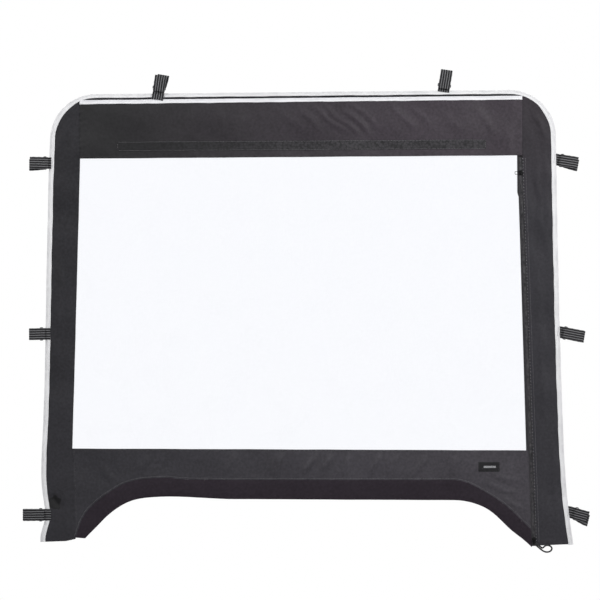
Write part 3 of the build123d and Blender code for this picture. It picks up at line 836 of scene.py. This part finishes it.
def header_relief(x, z):
    """Height of the header's front layer, which bulges between its long edges and lies close at its ends."""
    x, z = np.asarray(x, float), np.asarray(z, float)
    share = np.clip((z - HEADER_LOW.z) / (HEADER_TOP.z - HEADER_LOW.z), 0, 1)
    ends = smooth(np.minimum(x - HEADER_LOW.x, HEADER_TOP.x - x), 0.0, 0.05)
    return relief(x, z) + ends * HEADER_BULGE * np.sin(pi * share) ** 2 - (1 - ends) * HEADER_SINK


# Mesh builders


def add_piece(name, vertices, faces, material, body="screen", sharp=50, uv=None):
    """A mesh object on a CAD body, smooth except at its sharp edges."""
    mesh = bpy.data.meshes.new(name)
    mesh.from_pydata([tuple(v) for v in vertices], [], faces)
    mesh.materials.append(material)
    if uv is not None:
        layer = mesh.uv_layers.new(name="along")
        for loop in mesh.loops:
            layer.data[loop.index].uv = uv[loop.vertex_index]
    mesh.shade_smooth()
    mesh.set_sharp_from_angle(angle=radians(sharp))
    mesh.update()
    piece = bpy.data.objects.new(name, mesh)
    bpy.context.scene.collection.objects.link(piece)
    if body is not None:
        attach(piece, body)
    return piece


def swept_faces(count, size, flip=False):
    """Faces of a closed section of that size that is repeated along a line, with both ends closed."""
    faces = []
    for i in range(count - 1):
        for k in range(size):
            a, b = i * size + k, i * size + (k + 1) % size
            faces.append([a, b, b + size, a + size])
    faces.append(list(range(size))[::-1])
    faces.append([v + (count - 1) * size for v in range(size)])
    return [face[::-1] for face in faces] if flip else faces


def inside(points, boundary):
    """Which points lie inside a closed outline, by counting its edges to their right."""
    odd = np.zeros(len(points), bool)
    for (ax, az), (bx, bz) in zip(boundary, np.roll(boundary, -1, axis=0)):
        if az == bz:
            continue
        beside = (az > points[:, 1]) != (bz > points[:, 1])
        odd ^= beside & (points[:, 0] < (bx - ax) * (points[:, 1] - az) / (bz - az) + ax)
    return odd


def fill_outline(loop, step):
    """Points and triangles that fill an outline."""
    sides = [spaced(side, step * 0.8) for side in split_at_corners(loop)]
    boundary = np.concatenate([side[:-1] for side in sides])
    tree = tree_of(np.concatenate([spaced(side, step * 0.25) for side in sides]))
    inner = np.concatenate([shifted(side, RIM_IN)[1:-1] for side in sides if len(side) > 2])
    inner = inner[distances(tree, inner[:, 0], inner[:, 1]) > 0.85 * RIM_IN]
    low, high = boundary.min(0), boundary.max(0)
    lattice = np.array(
        [
            (x, z)
            for i, z in enumerate(np.arange(low[1], high[1], step * 0.866))
            for x in np.arange(low[0] + (i % 2) * step / 2, high[0], step)
        ]
    )
    lattice = lattice[inside(lattice, boundary)]
    lattice = lattice[distances(tree, lattice[:, 0], lattice[:, 1]) > RIM_IN + 0.5 * step]
    points = np.concatenate([boundary, inner, lattice])
    count = len(boundary)
    edges = [(i, (i + 1) % count) for i in range(count)]
    found = delaunay_2d_cdt([Vector(p) for p in points], edges, [], 0, 1e-7)
    points = np.array([tuple(point) for point in found[0]])
    middles = np.array([points[list(face)].mean(0) for face in found[2]])
    faces = [list(face) for face, kept in zip(found[2], inside(middles, boundary)) if kept]
    used = sorted({i for face in faces for i in face})
    order = {old: new for new, old in enumerate(used)}
    return points[used], [[order[i] for i in face] for face in faces]


def make_cloth(
    name, node, material, layer=FABRIC_LAYER, slot="black_fabric", step=FABRIC_STEP, height=relief, puff=0.0
):
    """A cloth piece over a CAD node's front face: two faces and a rounded rim, on the wrinkled relief."""
    loop = OUTLINES[node]
    points, faces = fill_outline(loop, step)
    front_y, thick = layer
    x, z = points[:, 0], points[:, 1]
    rim = rim_of(faces)
    on_rim = np.zeros(len(points), bool)
    on_rim[[i for edge in rim for i in edge]] = True
    tuck = np.where(on_rim, RIM_TUCK * thick, 0.0)
    swell = puff * smooth(distances(tree_of(points[on_rim]), x, z), 0.0, 0.012) if puff else 0.0
    lift = height(x, z)
    front = front_y + tuck - lift - swell
    back = front_y + thick - tuck - lift + swell
    vertices = np.concatenate([np.stack([x, front, z], 1), np.stack([x, back, z], 1)])
    count = len(points)
    solid = list(faces) + [[i + count for i in reversed(face)] for face in faces]
    solid += [[b, a, a + count, b + count] for a, b in rim]
    piece = add_piece(name, vertices, solid, MATERIALS[material], sharp=60)
    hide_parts(node)
    return piece, loop


def declare_sheet(loop):
    """Works out a piece's flat cut, its outline's width and length or, for a curved strip, its width by its
    length along the curve; nothing is returned or kept.
    """
    points = np.array(loop)
    width, length = points.max(0) - points.min(0)
    area = abs(signed_area(loop))
    if area < CURVED_FILL * width * length:
        length = len_of(loop + loop[:1]) / 2
        width = area / length


# Edge tapes

# Front half of a tape's section, as (share of its width inward, share of its wall), up to the fold
TAPE_FRONT = [
    (1.00, -0.62), (0.97, -0.95), (0.85, -1.02), (0.55, -1.06), (0.25, -1.04), (0.08, -0.90), (0.015, -0.55),
]
TAPE_SECTION = [*TAPE_FRONT, (0.0, 0.0), *[(share, -level) for share, level in reversed(TAPE_FRONT)]]


def make_tape(name, line, middle_y, material, node, height):
    """Tape folded round an edge. The line runs along the edge with the cloth on its right."""
    points = spaced(line, TAPE_STEP)
    ahead = headings(points)
    inward = np.stack([ahead[:, 1], -ahead[:, 0]], axis=1)
    along = along_line(points)
    wobble = 1 + 0.02 * np.sin(along * 95) + 0.02 * np.sin(along * 37 + 1.0)
    wobble = wobble - TAPE_NARROW * smooth(points[:, 1], -0.05, -0.01)
    rows, uv = [], []
    for share, level in TAPE_SECTION:
        place = points + inward * (share * TAPE_WIDTH * wobble)[:, None]
        lift = height(place[:, 0], place[:, 1])
        y = middle_y - lift + level * TAPE_WALL
        rows.append(np.stack([place[:, 0], y, place[:, 1]], axis=1))
        across = share * TAPE_WIDTH * (1 if level < 0 else -1)
        uv += [(s, across) for s in along]
    vertices = np.concatenate(rows)
    count = len(points)
    faces = []
    for i in range(len(rows) - 1):
        for j in range(count - 1):
            a, b = i * count + j, (i + 1) * count + j
            faces.append([a, b, b + 1, a + 1])
    piece = add_piece(name, vertices, faces, MATERIALS[material], uv=uv)
    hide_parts(node)


def binding_edge():
    """Outer edge of the edge binding, from the left foot up and round to the right foot."""
    sides = split_at_corners(OUTLINES["edge_binding"])
    longest = max(sides, key=len_of)
    return longest if longest[0][0] < longest[-1][0] else longest[::-1]


# Stitching


def stitch_row(line, surface, offset_y, pitch=STITCH_PITCH, length=STITCH_LENGTH, front=True):
    """Stitches along a line of (x, z) points, on a surface, as (start, end, forward sign)."""
    points = spaced(line, 0.002)
    along = along_line(points)
    places = np.arange(pitch * 0.4, along[-1] - length, pitch)
    ends = []
    for shift in (0, length):
        x = np.interp(places + shift, along, points[:, 0])
        z = np.interp(places + shift, along, points[:, 1])
        ends.append(np.stack([x, offset_y - surface(x, z), z], axis=1))
    sign = -1 if front else 1
    return [(a, b, sign) for a, b in zip(*ends)]


def make_stitches(name, stitches, material):
    """All the stitches of one thread as one piece: short rounded bars that dip in at their ends."""
    vertices, faces = [], []
    for start, end, sign in stitches:
        start, end = Vector(start), Vector(end)
        run = (end - start).normalized()
        out = Vector((0, sign, 0))
        side = run.cross(out).normalized()
        base = len(vertices)
        vertices.append(start - out * STITCH_RADIUS * STITCH_DIP)
        for share, size, lift in STITCH_SECTIONS:
            centre = start.lerp(end, share) + out * (STITCH_LIFT * lift)
            for k in range(STITCH_SIDES):
                angle = 2 * pi * k / STITCH_SIDES + 0.3
                vertices.append(centre + (out * cos(angle) + side * sin(angle)) * STITCH_RADIUS * size)
        vertices.append(end - out * STITCH_RADIUS * STITCH_DIP)
        first, last = base + 1, len(vertices) - 1 - STITCH_SIDES
        for k in range(STITCH_SIDES):
            after = (k + 1) % STITCH_SIDES
            faces.append([base, first + after, first + k])
            for ring in range(first, last, STITCH_SIDES):
                a, b = ring + k, ring + after
                faces.append([a, b, b + STITCH_SIDES, a + STITCH_SIDES])
            faces.append([len(vertices) - 1, last + k, last + after])
    add_piece(name, vertices, faces, MATERIALS[material], sharp=80)


# Zip


def make_coil(name, node, side):
    """One row of a coil zip: a flattened nylon helix whose heads reach the centre line."""
    low, high = zip_reach(node)
    turns = int((high - low) / COIL_PITCH)
    middle = (COIL_IN + COIL_OUT) / 2
    half = (COIL_OUT - COIL_IN) / 2 - COIL_WIRE
    phase = 0 if side < 0 else pi
    vertices = []
    count = turns * COIL_POINTS + 1
    for i in range(count):
        angle = 2 * pi * i / COIL_POINTS + phase
        along = low + COIL_PITCH * i / COIL_POINTS
        across = middle - half * cos(angle) * (1 if abs(cos(angle)) < 0.99 else COIL_HEAD_REACH)
        forward = (COIL_HIGH - COIL_WIRE) * sin(angle)
        centre = zip_point(along, side * across, forward)
        out = (ZIP_ACROSS * (-side * cos(angle)) + Vector((0, -1, 0)) * sin(angle)).normalized()
        swell = COIL_HEAD_SWELL if cos(angle) > 0.7 else 1.0
        for k in range(COIL_SIDES):
            turn = 2 * pi * k / COIL_SIDES
            vertices.append(centre + (out * cos(turn) + ZIP_AXIS * sin(turn)) * COIL_WIRE * swell)
    faces = swept_faces(count, COIL_SIDES, flip=side > 0)
    piece = add_piece(name, vertices, faces, MATERIALS["coil"], sharp=80)
    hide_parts(node)


def make_zip_tape(name, node, side):
    """Woven tape outside one row of coil, with a raised cord beside the coil."""
    outer = ZIP_TAPE_OUTER[side]
    section = [(0.0, -1.28), *ZIP_TAPE_CORD, (outer - ZIP_TAPE_LIP, 0.10), (outer, 0.0)]
    section += [(outer - ZIP_TAPE_LIP, -0.10), (0.0050, -0.16), (0.0038, -1.34), (0.0, -1.36)]
    low, high = zip_reach(node)
    count = ceil((high - low) / TAPE_STEP)
    vertices, uv = [], []
    for i in range(count + 1):
        along = low + (high - low) * i / count
        ruck = 0.00012 * sin(along * 260) + 0.0001 * sin(along * 97)
        for across, level in section:
            vertices.append(zip_point(along, side * across, level * ZIP_TAPE_RISE + ruck))
            uv.append((along, across))
    faces = swept_faces(count + 1, len(section), flip=side < 0)
    piece = add_piece(name, vertices, faces, MATERIALS["zip_tape"], uv=uv)
    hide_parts(node)


# Straps


class Strap:
    """One strap's own directions: along it from the hinge, across it, and forward."""

    def __init__(self, name):
        joint = STRAP_JOINTS[name]
        self.hinge = Vector(joint["pos_m"])
        self.across = Vector(joint["axis"])
        self.along = Vector((0, -1, 0)).cross(self.across).normalized()

    def reach(self, node):
        """How far a CAD node runs along the strap, as (least, most)."""
        places = [(v.co - self.hinge).dot(self.along) for v in frame["nodes"][node].data.vertices]
        return min(places), max(places)

    def point(self, along, forward, across=0.0):
        return self.hinge + self.along * along + Vector((0, -forward, 0)) + self.across * across


def webbing_section():
    """Closed outline of the webbing as (across, forward): ribs on both faces and rounded selvedges."""
    half, thick = WEBBING_HALF, WEBBING_THICK / 2
    front = []
    for i in range(WEBBING_SAMPLES):
        share = i / (WEBBING_SAMPLES - 1)
        across = -half + 2 * half * share
        rib = WEBBING_RIB_HEIGHT * (0.5 + 0.5 * cos(2 * pi * (share * WEBBING_RIBS - 0.5)))
        edge = min(1.0, 0.35 + 9 * min(share, 1 - share))
        front.append((across, (thick - WEBBING_RIB_HEIGHT + rib) * edge))
    return front + [(across, -forward) for across, forward in reversed(front)]


def make_webbing(name, strap, line, body, sag=0.0, drift=0.0):
    """Ribbed webbing swept along a line of (along, forward) points."""
    points = spaced(line, WEBBING_STEP)
    section = webbing_section()
    vertices, uv = [], []
    total = len(points) - 1
    for i, (place, run) in enumerate(zip(points, headings(points))):
        normal = (-run[1], run[0])
        share = i / total
        shift = drift * smooth(share, TAIL_SHARE, 1.0) - sag * sin(pi * min(share / TAIL_SHARE, 1.0))
        pinch = 1 - 0.025 * sin(i * 0.31) ** 2
        for across, forward in section:
            along, out = place[0] + normal[0] * forward, place[1] + normal[1] * forward
            vertices.append(strap.point(along, out, across * pinch + shift))
            uv.append((i * WEBBING_STEP, across))
    faces = swept_faces(len(points), len(section))
    piece = add_piece(name, vertices, faces, MATERIALS["webbing"], body=body, sharp=60, uv=uv)
    return piece


def arc(centre, radius, start, turn, count=10):
    """Points round a centre, angles in degrees."""
    return [
        (
            centre[0] + radius * cos(radians(start + turn * i / count)),
            centre[1] + radius * sin(radians(start + turn * i / count)),
        )
        for i in range(count + 1)
    ]


def strap_line(loop, tail, puff, slack_end):
    """Side view of a strap: out, round its tip, back and up through the ring, slack, and out as the tail."""
    tip = LAYER_STEP / 2 + puff
    out = [(STRAP_JOIN, 0.0), (0.35 * loop, -0.1 * puff), (loop - 4 * tip, -0.15 * puff)]
    turn = arc((loop - tip, tip * 0.9), tip, -90, 180)
    back = [
        (loop - 5 * tip, LAYER_STEP + 1.35 * puff),
        (0.55 * loop, LAYER_STEP + 0.6 * puff),
        (RING_OUT + 0.003, LAYER_STEP),
        (RING_OUT - 0.002, LAYER_STEP + 0.0004),
        (RING_OUT - 0.0028, RING_FORWARD),
        (RING_OUT - 0.0034, SLACK_FORWARD - 0.0006),
        (RING_OUT - 0.0055, SLACK_FORWARD),
    ]
    slack = arc((slack_end + SLACK_TURN, SLACK_FORWARD + SLACK_TURN), SLACK_TURN, -90, -180)
    top = SLACK_FORWARD + 2 * SLACK_TURN
    end = [(RING_OUT + 0.008, top + 0.3 * puff), (0.7 * tail, top + 0.2 * puff), (tail, top - 0.5 * puff)]
    return out + turn + back + slack + end


def rounded(line, passes=2):
    """A line with its corners cut, to make it run smoothly."""
    points = [np.array(p) for p in line]
    for _ in range(passes):
        cut = [points[0]]
        for a, b in zip(points, points[1:]):
            cut += [a * 0.75 + b * 0.25, a * 0.25 + b * 0.75]
        points = cut + [points[-1]]
    return points


def make_strap(name, tail, puff, sag, drift):
    """A strap's doubled webbing, the tab that holds its ring, and its sewn root on the screen."""
    strap = Strap(name)
    body = f"strap_{name}"
    loop = strap.reach(f"strap_{name}_webbing")[1] - WEBBING_THICK / 2 - LAYER_STEP / 2
    slack_end = SLACK_END["back" if strap.hinge.y > 0 else "front"]
    line = rounded(strap_line(loop, tail, puff, slack_end))
    webbing = make_webbing(f"webbing_{name}", strap, line, body, sag, drift)
    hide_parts(f"strap_{name}_webbing")

    tab_centre = strap.reach(f"strap_{name}_ring")[0] + 0.001
    turn = arc((tab_centre, RING_FORWARD), RING_TURN, -110, 260, 12)
    tab = [(STRAP_JOIN - TAB_LAP, 0.0014), *turn, (STRAP_JOIN - TAB_LAP, 0.0034)]
    make_webbing(f"ring_tab_{name}", strap, tab, body)

    start = strap.reach(f"strap_{name}_anchor")[0]
    lead = [(start, 0.0), (start / 2, 0.0), (0.0, 0.0), (STRAP_JOIN, 0.0)]
    anchor = make_webbing(f"strap_root_{name}", strap, lead, None)
    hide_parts(f"strap_{name}_anchor")
    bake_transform(anchor)


# The whole screen


def make_fabrics():
    """The cloth panels and the facing under the zip."""
    cloth = {}
    for name, node, material, options in (
        ("screen_left_panel", "left_side_panel", "fabric", {}),
        ("screen_right_panel", "right_side_panel", "right", {}),
        ("screen_header_backing", "header_backing", "fabric", {}),
        ("screen_header_front", "header_panel", "header", {"layer": HEADER_LAYER, "height": header_relief}),
        ("screen_lower_panel", "lower_panel", "lower", {}),
        ("screen_bonnet_hem", "bonnet_hem", "hem", {"slot": "hem_fabric", "puff": HEM_PUFF}),
    ):
        cloth[name] = make_cloth(name, node, material, **options)
    facing, _ = make_cloth("screen_zip_facing", "zip_facing", "fabric", layer=FACING_LAYER, step=0.003)
    for name, (piece, loop) in cloth.items():
        declare_sheet(loop)


def make_film():
    """The window: one sheet that follows the wrinkles at its seams and ripples more freely inside."""
    loop = OUTLINES["window_film"]
    points, faces = fill_outline(loop, FILM_STEP)
    x, z = points[:, 0], points[:, 1]
    sides = [spaced(side, SEAM_STEP) for side in split_at_corners(loop)]
    free = smooth(distances(tree_of(np.concatenate(sides)), x, z), 0.015, 0.09)
    lift = relief(x, z) * (1 - 0.5 * free) + FILM_RIPPLE * free * wave_height(FILM_WAVES, x, z)
    vertices = np.stack([x, FILM_Y - lift, z], axis=1)
    film = add_piece("screen_window_film", vertices, faces, MATERIALS["film"], sharp=180)
    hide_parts("window_film")
    declare_sheet(loop)


def make_hook_strip():
    options = {"layer": HOOK_LAYER, "slot": "hook_tape", "step": 0.004, "height": header_relief}
    piece, loop = make_cloth("screen_hook_strip", "hook_strip", "hook", **options)
    declare_sheet(loop)


def make_label():
    options = {"layer": LABEL_LAYER, "slot": "label_cloth", "step": 0.003}
    make_cloth("woven_label_blank", "woven_label", "label", **options)


def header_edge():
    """Bound upper edge of the pocket, left to right, at the tape's outer edge."""
    low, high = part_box("header_binding")
    mesh = frame["nodes"]["header_binding"].data
    left = max(v.co.z for v in mesh.vertices if v.co.x < low.x + 0.001)
    right = max(v.co.z for v in mesh.vertices if v.co.x > high.x - 0.001)
    return [(low.x, left), (high.x, right)]


def make_tapes():
    make_tape("edge_tape", binding_edge(), 0.0, "tape", "edge_binding", relief)
    make_tape("pocket_tape", header_edge(), HEADER_TAPE_Y, "header_tape", "header_binding", header_relief)


def middle_of(side):
    """Mean place of a side of an outline, as (x, z)."""
    return np.mean(spaced(side, 0.01), axis=0)


def row_beside(side, inset):
    """Line beside one side of an outline, moved in from it."""
    return shifted(spaced(side, SEAM_STEP), inset)


def zip_row(across, low, high):
    """Line beside the zip between two places along it."""
    return [(point.x, point.z) for point in (zip_point(low, across), zip_point(high, across))]


def box_row(low_x, low_z, high_x, high_z):
    """Closed line round a box."""
    return [(low_x, low_z), (high_x, low_z), (high_x, high_z), (low_x, high_z), (low_x, low_z)]


def make_all_stitches():
    """Every row of stitches, gathered by thread."""
    fabric_y, header_y = FABRIC_LAYER[0], HEADER_LAYER[0]
    rows = {"black": [], "grey": [], "pale": []}

    # Bindings
    edge = row_beside(binding_edge(), -TAPE_WIDTH + BINDING_STITCH_IN)
    rows["pale"] += stitch_row(edge, relief, -TAPE_WALL)
    rows["pale"] += stitch_row(edge, relief, TAPE_WALL, front=False)
    pocket = [(x, z - TAPE_WIDTH + BINDING_STITCH_IN) for x, z in header_edge()]
    rows["pale"] += stitch_row(pocket, header_relief, HEADER_TAPE_Y - TAPE_WALL)

    # Hook strip, seams of the lower panel and foot of the header
    for side in split_at_corners(OUTLINES["hook_strip"]):
        rows["grey"] += stitch_row(row_beside(side, 0.0012)[1:-1], header_relief, HOOK_LAYER[0])
    lower_sides = split_at_corners(OUTLINES["lower_panel"])
    top_side = max(lower_sides, key=lambda side: middle_of(side)[1])
    left_side = min(lower_sides, key=lambda side: middle_of(side)[0])
    rows["black"] += stitch_row(row_beside(top_side, 0.0045), relief, fabric_y)
    rows["black"] += stitch_row(row_beside(left_side, 0.0040), relief, fabric_y)
    above_hem = min(sorted(lower_sides, key=len_of)[-2:], key=lambda side: middle_of(side)[1])
    rows["grey"] += stitch_row(row_beside(above_hem, 0.0042), relief, fabric_y)
    header_foot = min(split_at_corners(OUTLINES["header_panel"]), key=lambda side: middle_of(side)[1])
    rows["black"] += stitch_row(row_beside(header_foot, 0.0045), header_relief, header_y)

    # Beside the zip
    bottom, top = zip_reach("zipper_coil_right")
    rows["grey"] += stitch_row(zip_row(0.0135, bottom, top), relief, fabric_y)
    rows["pale"] += stitch_row(zip_row(0.0064, bottom, top), relief, fabric_y, pitch=0.0086, length=0.0026)
    # The long black stitches left of the zip run almost unbroken: a painted shadow line along the facing's
    # edge
    rows["black"] += stitch_row(zip_row(-0.0084, bottom + 0.02, top - 0.02), relief, fabric_y, length=0.0040)

    # Label: its border and its woven bar
    low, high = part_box("woven_label")
    border = box_row(low.x + LABEL_BORDER, low.z + LABEL_BORDER, high.x - LABEL_BORDER, high.z - LABEL_BORDER)
    rows["black"] += stitch_row(border, relief, LABEL_LAYER[0], pitch=0.0032, length=0.0030)
    for i in range(LABEL_BAR_ROWS):
        lift = (low.z + high.z) / 2 + (i - (LABEL_BAR_ROWS - 1) / 2) * LABEL_ROW_STEP
        bar = [(low.x + 0.013, lift), (high.x - 0.008, lift)]
        rows["pale"] += stitch_row(bar, relief, LABEL_LAYER[0], pitch=0.0030, length=0.0029)

    # Bar tack on the lower panel
    for lift in (-0.0008, 0.0, 0.0008):
        mark = [(BARTACK[0] + reach, BARTACK[1] + lift) for reach in (-BARTACK_HALF, BARTACK_HALF)]
        rows["grey"] += stitch_row(mark, relief, fabric_y, pitch=0.0024, length=0.0020)

    # Roots of the side straps, over the edge tape
    for strap in map(Strap, STRAP_JOINTS):
        if abs(strap.along.z) > 0.7:
            continue
        for inset in STRAP_STITCHES:
            ends = [strap.point(-inset, 0, across) for across in (-STRAP_STITCH_HALF, STRAP_STITCH_HALF)]
            line = [(end.x, end.z) for end in ends]
            rows["black"] += stitch_row(line, relief, -TAPE_WALL, pitch=0.003, length=0.0024)

    for thread, stitches in rows.items():
        make_stitches(f"stitches_{thread}", stitches, f"{thread}_thread")


def paint_nodes():
    """New materials on the CAD nodes that stay."""
    for material, nodes in (
        ("slider", ["lower_slider", "upper_slider", "zipper_top_stops", "zipper_bottom_stops"]),
        ("pull", ["lower_pull", "upper_pull"]),
        ("sleeve", ["pull_sleeve"]),
        ("ring", [f"strap_{name}_ring" for name in STRAP_JOINTS]),
    ):
        for node in nodes:
            mesh = frame["nodes"][node].data
            mesh.materials.clear()
            mesh.materials.append(MATERIALS[material])


def make_stage():
    """Floor, white surroundings and lights. Only the camera sees the floor and the sky as plain white."""
    low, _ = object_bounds()
    size = FLOOR_SIZE / 2
    floor_z = low.z - FLOOR_GAP
    mesh = bpy.data.meshes.new("floor")
    corners = [(-size, -size, floor_z), (size, -size, floor_z), (size, size, floor_z), (-size, size, floor_z)]
    mesh.from_pydata(corners, [], [[0, 1, 2, 3]])
    paint = Paint("floor_paint", 0.9, 0.1)
    paint.shader.inputs["Base Color"].default_value = (0.60, 0.60, 0.61, 1)
    glow = paint.nodes.new("ShaderNodeEmission")
    glow.inputs["Strength"].default_value = BACKDROP
    blend = paint.nodes.new("ShaderNodeMixShader")
    paint.links.new(paint.nodes.new("ShaderNodeLightPath").outputs["Is Camera Ray"], blend.inputs[0])
    paint.links.new(paint.shader.outputs[0], blend.inputs[1])
    paint.links.new(glow.outputs[0], blend.inputs[2])
    paint.links.new(blend.outputs[0], paint.nodes["Material Output"].inputs["Surface"])
    mesh.materials.append(paint.material)
    floor = bpy.data.objects.new("floor", mesh)
    bpy.context.scene.collection.objects.link(floor)

    world = bpy.data.worlds.new("studio")
    world.use_nodes = True
    nodes, links = world.node_tree.nodes, world.node_tree.links
    seen = nodes.new("ShaderNodeLightPath").outputs["Is Camera Ray"]
    strength = nodes.new("ShaderNodeMapRange")
    strength.inputs["To Min"].default_value = SKY_LIGHT
    strength.inputs["To Max"].default_value = BACKDROP
    links.new(seen, strength.inputs["Value"])
    background = nodes["Background"]
    background.inputs["Color"].default_value = (1, 1, 1, 1)
    links.new(strength.outputs[0], background.inputs["Strength"])
    bpy.context.scene.world = world

    for name, place, size, energy in LIGHTS:
        data = bpy.data.lights.new(name, "AREA")
        data.shape = "SQUARE"
        data.size = size
        data.energy = energy
        light = bpy.data.objects.new(name, data)
        light.location = place
        aim = Vector((VIEW_CENTRE[0], 0, VIEW_CENTRE[1])) - Vector(place)
        light.rotation_euler = aim.to_track_quat("-Z", "Y").to_euler()
        bpy.context.scene.collection.objects.link(light)
    bpy.context.scene.view_settings.view_transform = "Standard"


make_camera()
make_cord(MATERIALS["cord"])
make_fabrics()
make_film()
make_hook_strip()
make_label()
make_tapes()
for zip_side, zip_name in ((-1, "left"), (1, "right")):
    make_coil(f"coil_row_{zip_name}", f"zipper_coil_{zip_name}", zip_side)
    make_zip_tape(f"zip_tape_{zip_name}", f"zipper_tape_{zip_name}", zip_side)
for strap_name, strap_look in STRAP_LOOKS.items():
    make_strap(strap_name, *strap_look)
make_all_stitches()
paint_nodes()
make_stage()
